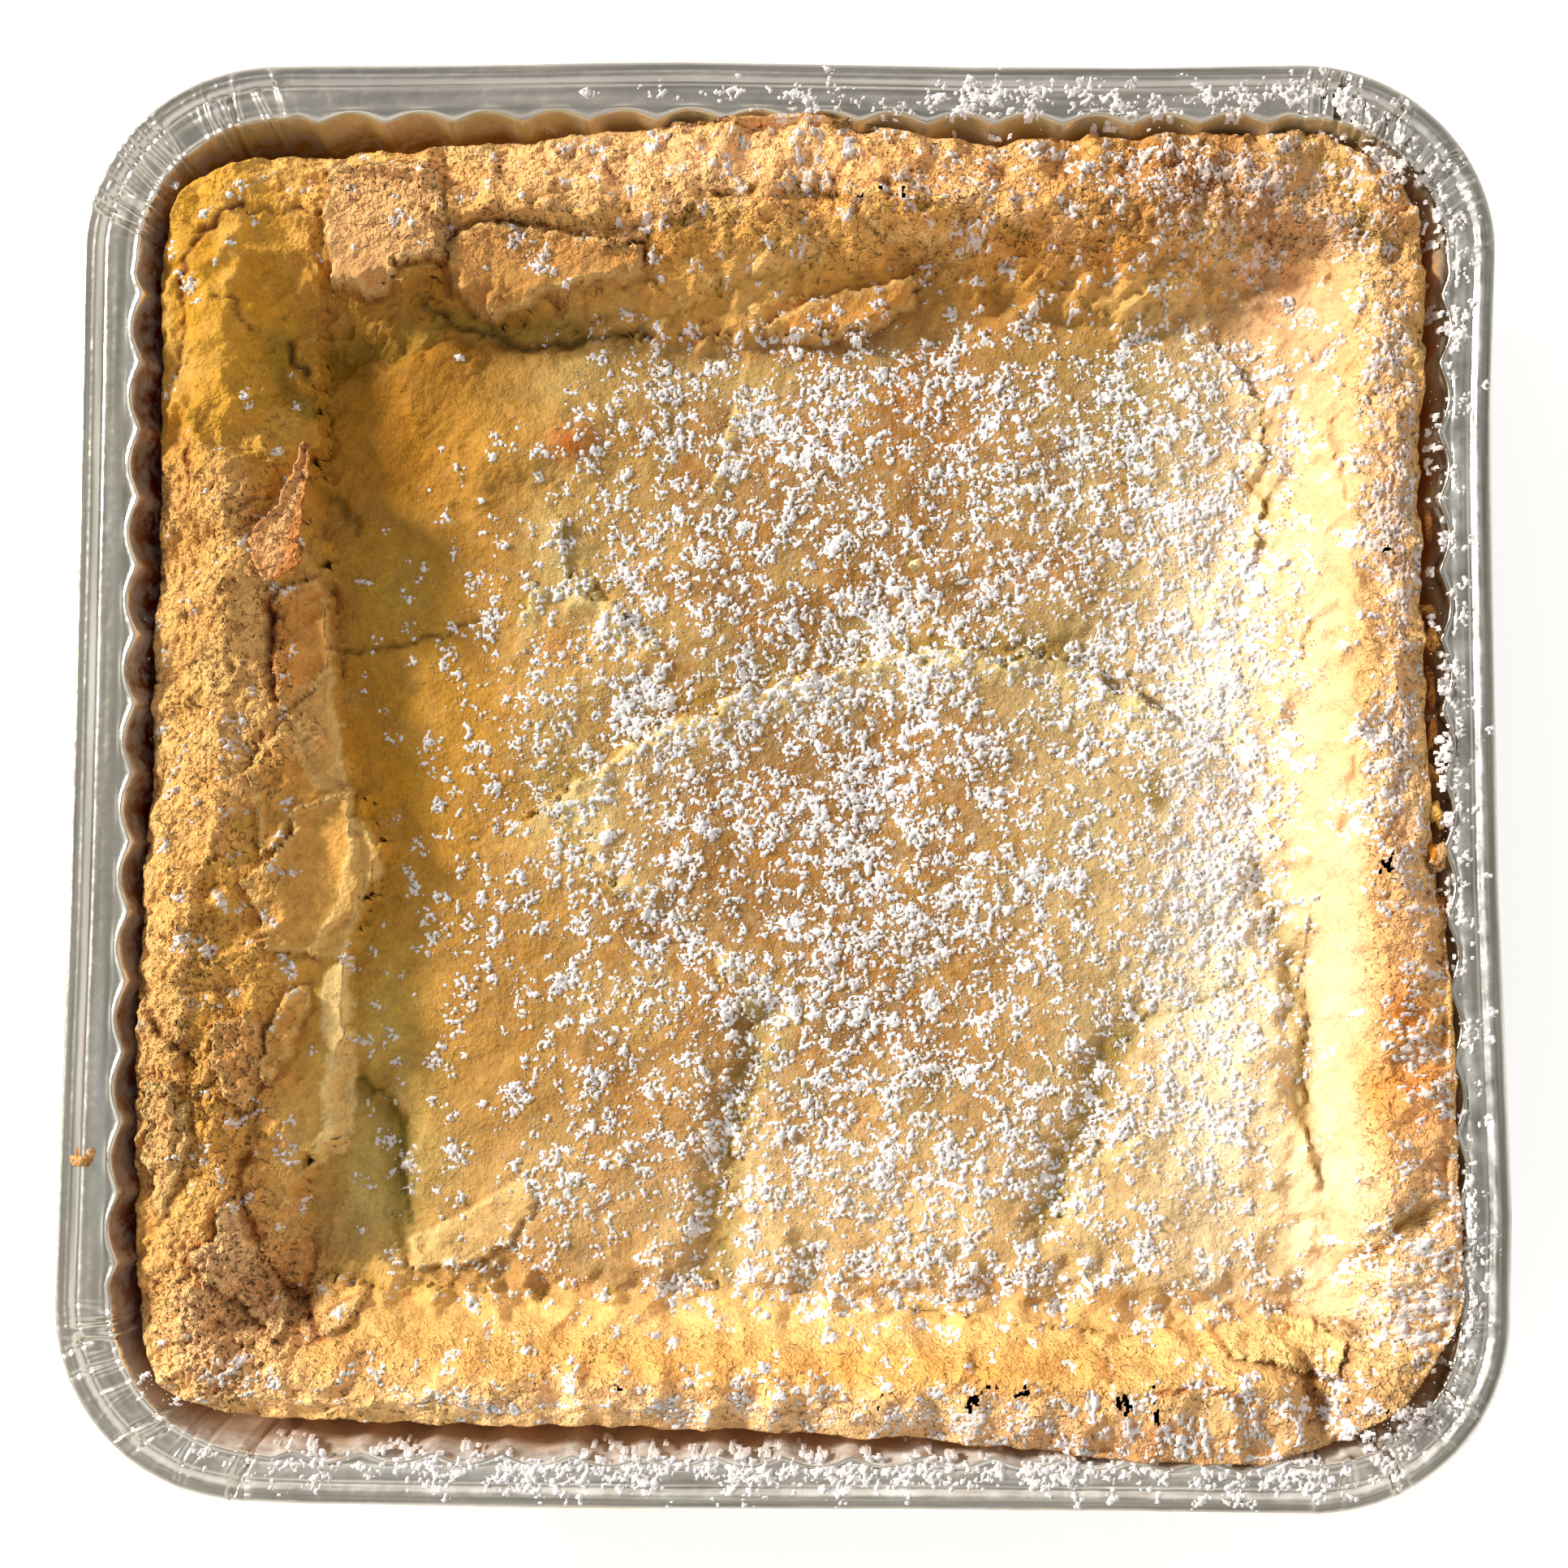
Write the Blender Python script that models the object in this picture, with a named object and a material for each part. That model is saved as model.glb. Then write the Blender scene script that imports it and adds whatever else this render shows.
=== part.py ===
"""A gooey butter cake in its square foil pan, as two closed solids.

The cake fills the pan: a browned, craggy border stands near the rim, and the middle has sunk.
Lengths below are in millimetres and become metres where a mesh is made. X runs to the right,
Y away from the viewer and Z up, with the origin on the surface that the pan stands on.
"""

import math

import bmesh
import bpy
import numpy as np

MM = 0.001
NAME = "gooey_butter_cake"

# Foil pan: an 8 inch square pan with a curled edge, a flat flange and fluted walls
PAN_HALF = (102.0, 103.5)
PAN_HEIGHT = 36.0
FOIL = 0.5
CORNER_OUTER = 28.0
CORNER_TOP = 20.0
CORNER_BASE = 14.0
CORNER_FLOOR = 12.0
EDGE_DROP = 1.4
BEAD_WIDTH = 3.2
BEAD_RISE = 0.7
BEAD_TOP = 1.44
FLANGE_WIDTH = 7.2
SHOULDER_WIDTH = 8.6
SHOULDER_DROP = 2.5
WALL_FOOT_INSET = 20.0
WALL_FOOT_Z = 3.5
FLOOR_INSET = 22.6
OPENING_SHIFT = (0.6, -0.5)
FLUTES_PER_SIDE = 15
FLUTE_DEPTH = 0.6
CORNER_STEPS = 16

# Sides of the pan, and how far its rim bows outwards there, as (place along the side, distance)
LEFT, RIGHT, TOP, BOTTOM = range(4)
RIM_BOW = {
    LEFT: [(-74.0, 0.9), (-50.0, 0.7), (-20.0, 0.4), (10.0, 0.4), (43.0, 0.6), (78.0, 0.9)],
    RIGHT: [(-74.0, 0.8), (-62.0, 1.2), (-40.0, 0.7), (-16.0, 0.0), (43.0, -0.2), (54.0, 0.0), (78.0, 1.0)],
    TOP: [(-78.0, 0.2), (-54.0, 0.4), (-31.0, 0.8), (-14.0, 1.0), (4.0, 0.7), (27.0, 0.3), (50.0, 0.3), (74.0, 0.6)],
    BOTTOM: [(-78.0, 0.0), (-66.0, 0.5), (-19.0, 0.8), (20.0, 0.5), (74.0, 0.6)],
}
BOW_START_Z = 14.0
BOW_FULL_Z = 30.0
BOW_WIDTH = 90.0

# Cake: how it sits in the pan
CLEARANCE = 0.35
CAKE_BASE_Z = FOIL + 0.3
GRID_CELLS = 60
BORDER_REFINEMENT = 0.13
CORNER_POWER = 3.0
EDGE_POWER = 8.0
EDGE_PULL = 8.0
EDGE_LEVEL = 32.5

# Cake: the border's height along each wall, and the sunken middle
EDGE_Z = {LEFT: 30.5, RIGHT: 33.6, TOP: 32.4, BOTTOM: 34.2}
CREST_Z = {LEFT: 33.6, RIGHT: 36.6, TOP: 35.6, BOTTOM: 36.6}
CREST_IN = {LEFT: 9.0, RIGHT: 8.0, TOP: 11.0, BOTTOM: 8.0}
LIP_RISE = {LEFT: 5.8, RIGHT: 1.5, TOP: 2.6, BOTTOM: 2.2}
LIP_RUN = 3.4
SIDE_BLEND = 14.0
MIDDLE_Z = 22.4
MIDDLE_TILT = 0.018

# Where the border ends, as places along each side and the inner limit there
INNER_LIMIT = {
    LEFT: [(-58.5, -69.6), (-52.6, -64.8), (-27.9, -63.7), (-11.9, -59.5), (11.3, -66.1), (42.6, -69.6)],
    RIGHT: [(-69.2, 77.2), (-28.2, 76.4), (3.9, 69.5), (24.3, 63.7), (43.7, 72.2), (70.6, 73.6)],
    TOP: [(-75.0, 64.0), (-50.0, 67.6), (-2.4, 67.7), (21.7, 76.4), (52.0, 68.0), (71.0, 76.5)],
    BOTTOM: [(-56.7, -71.3), (-40.2, -75.8), (19.7, -76.5), (48.9, -79.7), (76.9, -77.8)],
}

# Where the cake's edge lies, as places along each side and the edge there
EDGE_LINE = {
    LEFT: [(-81.5, -91.3), (-64.0, -92.3), (-35.0, -92.4), (-6.0, -91.7), (30.0, -91.2), (75.0, -91.7)],
    RIGHT: [(-85.0, 95.8), (-63.0, 96.1), (-34.0, 95.1), (-5.0, 92.6), (30.0, 91.2), (80.0, 93.0)],
    TOP: [(-74.0, 90.8), (-38.0, 92.7), (-14.0, 95.8), (5.0, 96.4), (27.0, 92.8), (57.0, 94.1), (81.0, 95.3)],
    BOTTOM: [(-72.0, -91.9), (-24.0, -92.6), (5.0, -93.5), (27.5, -94.5), (50.0, -97.1), (85.0, -93.4)],
}

# The torn edge of the browned crust along the left, as (place along Y, place along X)
TORN_EDGE = [(-60.0, -86.0), (-16.6, -83.5), (-6.0, -77.9), (-0.1, -73.3), (5.9, -65.8), (9.4, -71.7)]
TORN_EDGE += [(22.4, -73.2), (30.7, -75.2), (52.0, -80.0)]
TORN_RISE = 1.8
TORN_RUN = 1.6
TORN_FLAT = 3.0
TORN_REACH = 12.0

# Cracks: a line, its depth and its width
CRACKS = [
    ([(-2.9, -34.6), (-7.0, -52.3), (-9.2, -71.1)], 2.0, 3.6),
    ([(51.7, -33.0), (42.2, -53.2), (38.6, -63.7)], 1.5, 3.0),
    ([(70.6, -15.2), (75.1, -35.3), (75.6, -49.4)], 1.6, 2.6),
    ([(-62.4, -44.4), (-57.3, -51.5), (-55.4, -68.0)], 1.6, 2.6),
    ([(-75.7, 64.1), (-75.0, 58.0), (-70.7, 54.2)], 2.6, 2.8),
    ([(-66.6, 62.8), (-49.7, 68.4), (-32.7, 67.3)], 2.4, 2.8),
    ([(89.4, -61.7), (85.3, -66.4), (80.6, -69.8)], 2.0, 2.4),
    ([(74.6, -83.4), (76.3, -90.2)], 1.8, 2.4),
    ([(79.2, 89.2), (85.0, 79.4), (87.4, 75.8)], 1.6, 2.4),
]

# The long fault across the middle: the crust below it stands over a valley above it
FAULT = [(-34.4, -2.5), (-20.1, 6.7), (-5.1, 13.1), (19.5, 19.3), (39.9, 18.4), (51.9, 12.4)]
FAULT_RISE = 1.6
FAULT_FALL = 2.0
FAULT_REACH = 7.0

# Mounds and hollows: place, radius and height
MOUNDS = [
    (-54.5, 62.9, 8.0, 3.6),
    (-44.5, 48.2, 7.0, 2.8),
    (-32.5, 50.1, 6.0, 2.2),
    (-84.0, -75.3, 3.4, 2.6),
    (-78.3, -70.8, 3.2, 2.0),
    (-81.5, -84.4, 3.6, 2.2),
    (-70.7, -76.4, 3.2, -4.6),
    (-74.0, 22.0, 3.4, -4.4),
    (84.0, -74.5, 3.0, -2.6),
]

# Slabs of crust that lie flat: corners in order against the clock, and height
SLABS = [
    ([(-67.3, 89.6), (-66.9, 72.0), (-50.9, 72.6), (-49.9, 86.0)], 34.6),
    ([(-50.7, 81.7), (-48.8, 71.9), (-41.5, 67.7), (-21.4, 74.4), (-20.2, 80.5)], 32.4),
    ([(-3.6, 66.6), (9.7, 65.4), (21.6, 75.9), (4.8, 73.4)], 27.4),
    ([(-70.2, 45.7), (-76.8, 33.8), (-74.5, 27.3), (-69.4, 36.2)], 35.6),
]
SLAB_EDGE = 2.0
SLAB_SHARE = 0.8

# Roughness of the crust: cell size and height of each layer of noise, and its seed
CRAG_LAYERS = [(9.0, 1.5, 11), (4.8, 0.8, 12)]
LUMP_LAYERS = [(21.0, 1.4, 21), (9.5, 0.9, 22)]
CRAG_WIDTH = 26.0
CRAG_FADE = 12.0
LUMP_CALM = 0.6


def smooth(value):
    """Runs from 0 to 1 as value does, level at both ends."""
    t = np.clip(value, 0.0, 1.0)
    return t * t * (3.0 - 2.0 * t)


def noise(x, y, cell, seed):
    """Smooth gradient noise of about -1 to 1, whose bumps are a cell apart."""
    size = 64
    angles = np.random.default_rng(seed).uniform(0.0, 2.0 * math.pi, (size, size))
    column = np.floor(x / cell).astype(int)
    row = np.floor(y / cell).astype(int)
    fx = x / cell - column
    fy = y / cell - row

    def corner(i, j):
        angle = angles[(column + i) % size, (row + j) % size]
        return np.cos(angle) * (fx - i) + np.sin(angle) * (fy - j)

    low = corner(0, 0) + (corner(1, 0) - corner(0, 0)) * smooth(fx)
    high = corner(0, 1) + (corner(1, 1) - corner(0, 1)) * smooth(fx)
    return 1.5 * (low + (high - low) * smooth(fy))


def line_distance(x, y, line):
    """Distance to a line of points, and on which side of it: positive is to its left."""
    nearest = np.full(np.shape(x), np.inf)
    side = np.zeros(np.shape(x))
    for (ax, ay), (bx, by) in zip(line, line[1:]):
        run = (bx - ax, by - ay)
        length = math.hypot(*run)
        along = np.clip(((x - ax) * run[0] + (y - ay) * run[1]) / length**2, 0.0, 1.0)
        distance = np.hypot(x - ax - along * run[0], y - ay - along * run[1])
        across = (run[0] * (y - ay) - run[1] * (x - ax)) / length
        side = np.where(distance < nearest, np.sign(across), side)
        nearest = np.minimum(nearest, distance)
    return nearest, side


def inside_polygon(x, y, corners):
    """How far a place lies inside a convex polygon whose corners run against the clock."""
    depth = np.full(np.shape(x), np.inf)
    for (ax, ay), (bx, by) in zip(corners, corners[1:] + corners[:1]):
        length = math.hypot(bx - ax, by - ay)
        depth = np.minimum(depth, ((bx - ax) * (y - ay) - (by - ay) * (x - ax)) / length)
    return depth


def cake_outline(z):
    """Half width, half depth and corner radius of the cake's side, just inside the wall's flutes."""
    levels = (FOIL, WALL_FOOT_Z, PAN_HEIGHT - SHOULDER_DROP)
    inset = np.interp(z, levels, (FLOOR_INSET, WALL_FOOT_INSET, SHOULDER_WIDTH))
    inset = inset + FLUTE_DEPTH + CLEARANCE
    radius = np.interp(z, levels, (CORNER_FLOOR, CORNER_BASE, CORNER_TOP))
    return PAN_HALF[0] - inset, PAN_HALF[1] - inset, radius


def onto_outline(u, v, half_x, half_y, radius):
    """Carries a square from -1 to 1 onto a rectangle with rounded corners."""
    reach = np.maximum(np.maximum(np.abs(u), np.abs(v)), 1e-6)
    edge_x = np.abs(u) / reach * half_x
    edge_y = np.abs(v) / reach * half_y
    centre_x = half_x - radius
    centre_y = half_y - radius
    dot = edge_x * centre_x + edge_y * centre_y
    square = np.maximum(edge_x**2 + edge_y**2, 1e-9)
    root = np.sqrt(np.maximum(dot**2 - square * (centre_x**2 + centre_y**2 - radius**2), 0.0))
    in_corner = (edge_x > centre_x) & (edge_y > centre_y)
    shrink = np.where(in_corner, (dot + root) / square, 1.0)
    shrink = 1.0 - (1.0 - shrink) * reach**CORNER_POWER
    return u * half_x * shrink + OPENING_SHIFT[0], v * half_y * shrink + OPENING_SHIFT[1]


def side_distances(x, y):
    """Distance from each wall, the place along it, and the inner limit's distance from it."""
    half_x, half_y, _ = cake_outline(PAN_HEIGHT - SHOULDER_DROP)
    walls = {
        LEFT: (x, y, OPENING_SHIFT[0] - half_x),
        RIGHT: (x, y, OPENING_SHIFT[0] + half_x),
        TOP: (y, x, OPENING_SHIFT[1] + half_y),
        BOTTOM: (y, x, OPENING_SHIFT[1] - half_y),
    }
    found = {}
    for side, (across, along, wall) in walls.items():
        places, limits = zip(*INNER_LIMIT[side])
        limit = np.interp(along, places, limits)
        found[side] = (np.abs(across - wall), np.abs(limit - wall))
    return found


def border_and_middle(x, y):
    """Height of the plain form: the border's crest along each wall, falling to the middle."""
    middle = MIDDLE_Z + MIDDLE_TILT * x
    total = np.zeros(np.shape(x))
    weights = np.zeros(np.shape(x))
    for side, (distance, limit) in side_distances(x, y).items():
        crest_in = CREST_IN[side]
        rise = np.sin(np.clip(distance / crest_in, 0.0, 1.0) * math.pi / 2.0)
        height = EDGE_Z[side] + (CREST_Z[side] - EDGE_Z[side]) * rise
        lip = middle + LIP_RISE[side]
        height = height + (lip - height) * smooth((distance - crest_in) / (limit - crest_in))
        height = height + (middle - height) * smooth((distance - limit) / LIP_RUN)
        weight = np.exp(-((distance / SIDE_BLEND) ** 2)) + 1e-9
        total += weight * height
        weights += weight
    return total / weights


def cake_height(x, y):
    """Height of the cake's top: the plain form, then crust, faults, mounds, slabs and cracks."""
    height = border_and_middle(x, y)
    wall_distance = np.minimum.reduce([found[0] for found in side_distances(x, y).values()])
    in_border = 1.0 - smooth((wall_distance - CRAG_WIDTH) / CRAG_FADE + 0.5)

    places, torn_x = zip(*TORN_EDGE)
    torn = np.interp(y, places, torn_x) - x
    in_torn_run = smooth((y - places[0]) / TORN_REACH) * smooth((places[-1] - y) / TORN_REACH)
    height += TORN_RISE * in_torn_run * (smooth(torn / TORN_RUN) - smooth((torn - TORN_FLAT) / TORN_REACH))

    distance, side = line_distance(x, y, FAULT)
    step = np.where(side < 0.0, FAULT_RISE, -FAULT_FALL) * smooth(distance)
    height += step * np.exp(-distance / FAULT_REACH)

    for mound_x, mound_y, radius, rise in MOUNDS:
        height += rise * np.exp(-((x - mound_x) ** 2 + (y - mound_y) ** 2) / radius**2)
    for cell, rise, seed in CRAG_LAYERS:
        height += in_border * rise * (1.0 - 2.0 * np.abs(noise(x, y, cell, seed)))
    for cell, rise, seed in LUMP_LAYERS:
        height += (1.0 - LUMP_CALM * in_border) * rise * noise(x, y, cell, seed)
    for corners, level in SLABS:
        share = smooth(inside_polygon(x, y, corners) / SLAB_EDGE + 0.5)
        height += SLAB_SHARE * share * (level - height)
    for line, depth, width in CRACKS:
        distance, _ = line_distance(x, y, line)
        height -= depth * np.exp(-((distance / width) ** 2))
    return height


def edge_push(x, y):
    """How far the cake's top draws in from the plain outline at each place, along X and along Y."""
    half_x, half_y, _ = cake_outline(EDGE_LEVEL)
    walls = {
        LEFT: (x, y, OPENING_SHIFT[0] - half_x),
        RIGHT: (x, y, OPENING_SHIFT[0] + half_x),
        TOP: (y, x, OPENING_SHIFT[1] + half_y),
        BOTTOM: (y, x, OPENING_SHIFT[1] - half_y),
    }
    pushes = {}
    for side, (across, along, wall) in walls.items():
        places, edges = zip(*EDGE_LINE[side])
        offset = np.interp(along, places, edges) - wall
        offset = np.where(np.sign(wall) * offset < 0.0, offset, 0.0)
        pushes[side] = offset * (1.0 - smooth(np.abs(across - wall) / EDGE_PULL))
    return pushes[LEFT] + pushes[RIGHT], pushes[TOP] + pushes[BOTTOM]


def cake_points(u, v):
    """Places of the cake's top for a square grid from -1 to 1."""
    x, y = onto_outline(u, v, *cake_outline(EDGE_LEVEL))
    z = cake_height(x, y)
    near_wall = np.maximum(np.abs(u), np.abs(v)) ** EDGE_POWER
    x, y = onto_outline(u, v, *cake_outline(EDGE_LEVEL + (z - EDGE_LEVEL) * near_wall))
    push_x, push_y = edge_push(x, y)
    return x + push_x, y + push_y, z


def material(name, color, roughness, metallic=0.0):
    """A plain Principled material."""
    made = bpy.data.materials.new(name)
    made.use_nodes = True
    shader = made.node_tree.nodes["Principled BSDF"]
    shader.inputs["Base Color"].default_value = (*color, 1.0)
    shader.inputs["Roughness"].default_value = roughness
    shader.inputs["Metallic"].default_value = metallic
    return made


def add_object(name, mesh, look, collection):
    """Puts a mesh into the scene as one named object with its own material."""
    mesh.materials.append(look)
    mesh.shade_smooth()
    mesh.set_sharp_from_angle(angle=math.radians(40.0))
    made = bpy.data.objects.new(name, mesh)
    collection.objects.link(made)
    return made


def bowed(x, y, z):
    """Moves places of the pan outwards where its rim bows, and less the lower they lie."""
    share = smooth((z - BOW_START_Z) / (BOW_FULL_Z - BOW_START_Z))
    moves = []
    for across, along, far, near in ((x, y, RIGHT, LEFT), (y, x, TOP, BOTTOM)):
        far_bow = np.interp(along, *zip(*RIM_BOW[far])) * smooth(across / BOW_WIDTH)
        near_bow = np.interp(along, *zip(*RIM_BOW[near])) * smooth(-across / BOW_WIDTH)
        moves.append(share * (far_bow - near_bow))
    return x + moves[0], y + moves[1]


def pan_ring(inset, z, radius, shift, flute=0.0):
    """One level loop round the pan: corner arcs joined by straight sides that may be fluted."""
    centre = (PAN_HALF[0] - inset - radius, PAN_HALF[1] - inset - radius)
    offset = (shift * OPENING_SHIFT[0], shift * OPENING_SHIFT[1])
    places = []
    for quarter in range(4):
        start = quarter * math.pi / 2.0
        corner_x = centre[0] if quarter in (0, 3) else -centre[0]
        corner_y = centre[1] if quarter in (0, 1) else -centre[1]
        for step in range(CORNER_STEPS + 1):
            angle = start + step / CORNER_STEPS * math.pi / 2.0
            places.append((corner_x + radius * math.cos(angle), corner_y + radius * math.sin(angle)))
        out_x, out_y = -math.sin(start), math.cos(start)
        last_x, last_y = places[-1]
        length = 2.0 * centre[quarter % 2]
        for step in range(2 * FLUTES_PER_SIDE):
            along = (step + 0.5) / (2 * FLUTES_PER_SIDE) * length
            out = flute if step % 2 else -flute
            places.append((last_x - out_y * along + out_x * out, last_y + out_x * along + out_y * out))
    bowed_places = [bowed(x + offset[0], y + offset[1], z) for x, y in places]
    return [(x * MM, y * MM, z * MM) for x, y in bowed_places]


def pan_rings():
    """The loops of the foil's upper face, from the curled edge in to the floor."""
    flange_z = PAN_HEIGHT - BEAD_RISE
    shoulder_z = PAN_HEIGHT - SHOULDER_DROP
    return [
        pan_ring(0.0, PAN_HEIGHT - EDGE_DROP, CORNER_OUTER, 0.0),
        pan_ring(BEAD_TOP, PAN_HEIGHT, CORNER_OUTER, 0.0),
        pan_ring(BEAD_WIDTH, flange_z, CORNER_OUTER - BEAD_WIDTH, 0.0),
        pan_ring(FLANGE_WIDTH, flange_z, CORNER_OUTER - FLANGE_WIDTH, 1.0),
        pan_ring(SHOULDER_WIDTH, shoulder_z, CORNER_TOP, 1.0, FLUTE_DEPTH),
        pan_ring(WALL_FOOT_INSET, WALL_FOOT_Z, CORNER_BASE, 1.0, FLUTE_DEPTH),
        pan_ring(FLOOR_INSET, FOIL, CORNER_FLOOR, 1.0),
    ]


def make_pan(collection):
    """The foil pan: a loft through its loops with a floor, thickened downwards and outwards."""
    bm = bmesh.new()
    loops = [[bm.verts.new(point) for point in ring] for ring in pan_rings()]
    for upper, lower in zip(loops, loops[1:]):
        for i in range(len(upper)):
            j = (i + 1) % len(upper)
            bm.faces.new((upper[i], upper[j], lower[j], lower[i]))
    bm.faces.new(loops[-1])
    bmesh.ops.recalc_face_normals(bm, faces=bm.faces)
    if sum(face.normal.z * face.calc_area() for face in bm.faces) < 0.0:
        bmesh.ops.reverse_faces(bm, faces=bm.faces)
    bmesh.ops.solidify(bm, geom=bm.faces[:], thickness=FOIL * MM)
    for vertex in bm.verts:
        if vertex.co.z < 0.5 * FOIL * MM:
            vertex.co.z = 0.0
    mesh = bpy.data.meshes.new("foil_pan")
    bm.to_mesh(mesh)
    bm.free()
    look = material("foil", (0.62, 0.61, 0.58), 0.32, metallic=1.0)
    return add_object("foil_pan", mesh, look, collection)


def side_points(u, v, level):
    """Places of the cake's side at a level, for the edge of the same grid."""
    x, y = onto_outline(u, v, *cake_outline(level))
    return x, y, np.full(np.shape(x), level)


def move_vertices(vertices, layer, shape):
    """Moves vertices to where a shape puts the places that the layer holds for them."""
    u, v = np.array([vertex[layer][:2] for vertex in vertices]).T
    for vertex, point in zip(vertices, zip(*shape(u, v))):
        vertex.co = [length * MM for length in point]


def make_cake(collection):
    """The cake: a grid shaped by its height, with sides that follow the pan down to its floor."""
    bm = bmesh.new()
    bmesh.ops.create_grid(bm, x_segments=GRID_CELLS, y_segments=GRID_CELLS, size=1.0)
    layer = bm.verts.layers.float_vector.new("place")
    for vertex in bm.verts:
        vertex[layer] = [t * (1.0 + BORDER_REFINEMENT) - BORDER_REFINEMENT * t**3 for t in vertex.co]
    move_vertices(bm.verts[:], layer, cake_points)
    rim = [edge for edge in bm.edges if edge.is_boundary]
    for level in (WALL_FOOT_Z, CAKE_BASE_Z):
        made = bmesh.ops.extrude_edge_only(bm, edges=rim)["geom"]
        lower = [item for item in made if isinstance(item, bmesh.types.BMVert)]
        rim = [item for item in made if isinstance(item, bmesh.types.BMEdge) and item.is_boundary]
        move_vertices(lower, layer, lambda u, v: side_points(u, v, level))
    bmesh.ops.contextual_create(bm, geom=rim)
    bmesh.ops.recalc_face_normals(bm, faces=bm.faces)
    mesh = bpy.data.meshes.new("cake")
    bm.to_mesh(mesh)
    bm.free()
    look = material("cake", (0.72, 0.45, 0.17), 0.6)
    return add_object("cake", mesh, look, collection)


def main():
    for old in list(bpy.data.objects):
        bpy.data.objects.remove(old, do_unlink=True)
    collection = bpy.data.collections.new(NAME)
    bpy.context.scene.collection.children.link(collection)
    make_pan(collection)
    make_cake(collection)


main()
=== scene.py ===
"""The looks of a gooey butter cake in its square foil pan.

The plain form of the cake and the pan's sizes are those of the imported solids. This script adds
the fine surface: torn crust, cracks, pits and flaps, powdered sugar as real clumps, and a thin
wrinkled foil pan. Lengths are in millimetres until a mesh is made, in the frame of the solids:
X to the right, Y away from the viewer, Z up, and the origin under the middle of the pan.
"""

import math

import bmesh
import bpy
import numpy as np
from mathutils import Matrix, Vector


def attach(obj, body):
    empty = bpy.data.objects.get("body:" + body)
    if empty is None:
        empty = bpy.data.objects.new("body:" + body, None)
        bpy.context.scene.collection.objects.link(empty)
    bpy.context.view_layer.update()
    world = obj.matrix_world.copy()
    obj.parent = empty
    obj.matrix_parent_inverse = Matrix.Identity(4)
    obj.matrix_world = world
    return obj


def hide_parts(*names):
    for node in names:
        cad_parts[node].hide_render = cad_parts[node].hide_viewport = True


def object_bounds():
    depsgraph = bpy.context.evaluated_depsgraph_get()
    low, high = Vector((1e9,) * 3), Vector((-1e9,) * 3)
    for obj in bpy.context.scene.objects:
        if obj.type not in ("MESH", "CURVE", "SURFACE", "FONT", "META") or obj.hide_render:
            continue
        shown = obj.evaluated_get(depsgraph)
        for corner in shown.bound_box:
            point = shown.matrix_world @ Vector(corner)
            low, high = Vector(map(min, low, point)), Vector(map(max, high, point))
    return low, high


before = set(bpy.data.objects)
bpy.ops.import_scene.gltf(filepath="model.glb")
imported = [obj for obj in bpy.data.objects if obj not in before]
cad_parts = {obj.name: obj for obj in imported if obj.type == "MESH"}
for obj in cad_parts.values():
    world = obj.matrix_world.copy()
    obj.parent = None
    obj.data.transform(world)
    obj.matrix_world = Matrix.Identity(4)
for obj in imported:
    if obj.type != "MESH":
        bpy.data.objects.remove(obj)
cad_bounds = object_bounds()

MM = 0.001

# Foil pan
PAN_HALF = (102.0, 103.5)
PAN_HEIGHT = 36.0
FOIL = 0.12
CORNER_OUTER = 28.0
CORNER_TOP = 20.0
CORNER_BASE = 14.0
CORNER_FLOOR = 12.0
SHOULDER_WIDTH = 8.6
SHOULDER_Z = 33.5
WALL_FOOT_INSET = 20.0
WALL_FOOT_Z = 3.5
FLOOR_INSET = 22.6
FLOOR_Z = 0.5
OPENING_SHIFT = (0.6, -0.5)
FLUTES_PER_SIDE = 15
FLUTE_DEPTH = 0.8
FLUTE_STEPS = 10
CORNER_STEPS = 150

# Sides of the pan, and how far its rim bows outwards there, as (place along the side, distance)
LEFT, RIGHT, TOP, BOTTOM = range(4)
RIM_BOW = {
    LEFT: [(-74, 0.9), (-50, 0.7), (-20, 0.4), (10, 0.4), (43, 0.6), (78, 0.9)],
    RIGHT: [(-74, 0.8), (-62, 1.2), (-40, 0.7), (-16, 0), (43, -0.2), (54, 0), (78, 1)],
    TOP: [(-78, 0.2), (-54, 0.4), (-31, 0.8), (-14, 1), (4, 0.7), (27, 0.3), (50, 0.3),
          (74, 0.6)],
    BOTTOM: [(-78, 0), (-66, 0.5), (-19, 0.8), (20, 0.5), (74, 0.6)],
}
PAN_CORNERS = [(0.0, CORNER_OUTER), (SHOULDER_WIDTH, CORNER_TOP), (WALL_FOOT_INSET, CORNER_BASE)]
PAN_CORNERS += [(FLOOR_INSET, CORNER_FLOOR), (26.0, 9.0)]
BOW_START_Z = 14.0
BOW_FULL_Z = 30.0
BOW_WIDTH = 90.0

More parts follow.
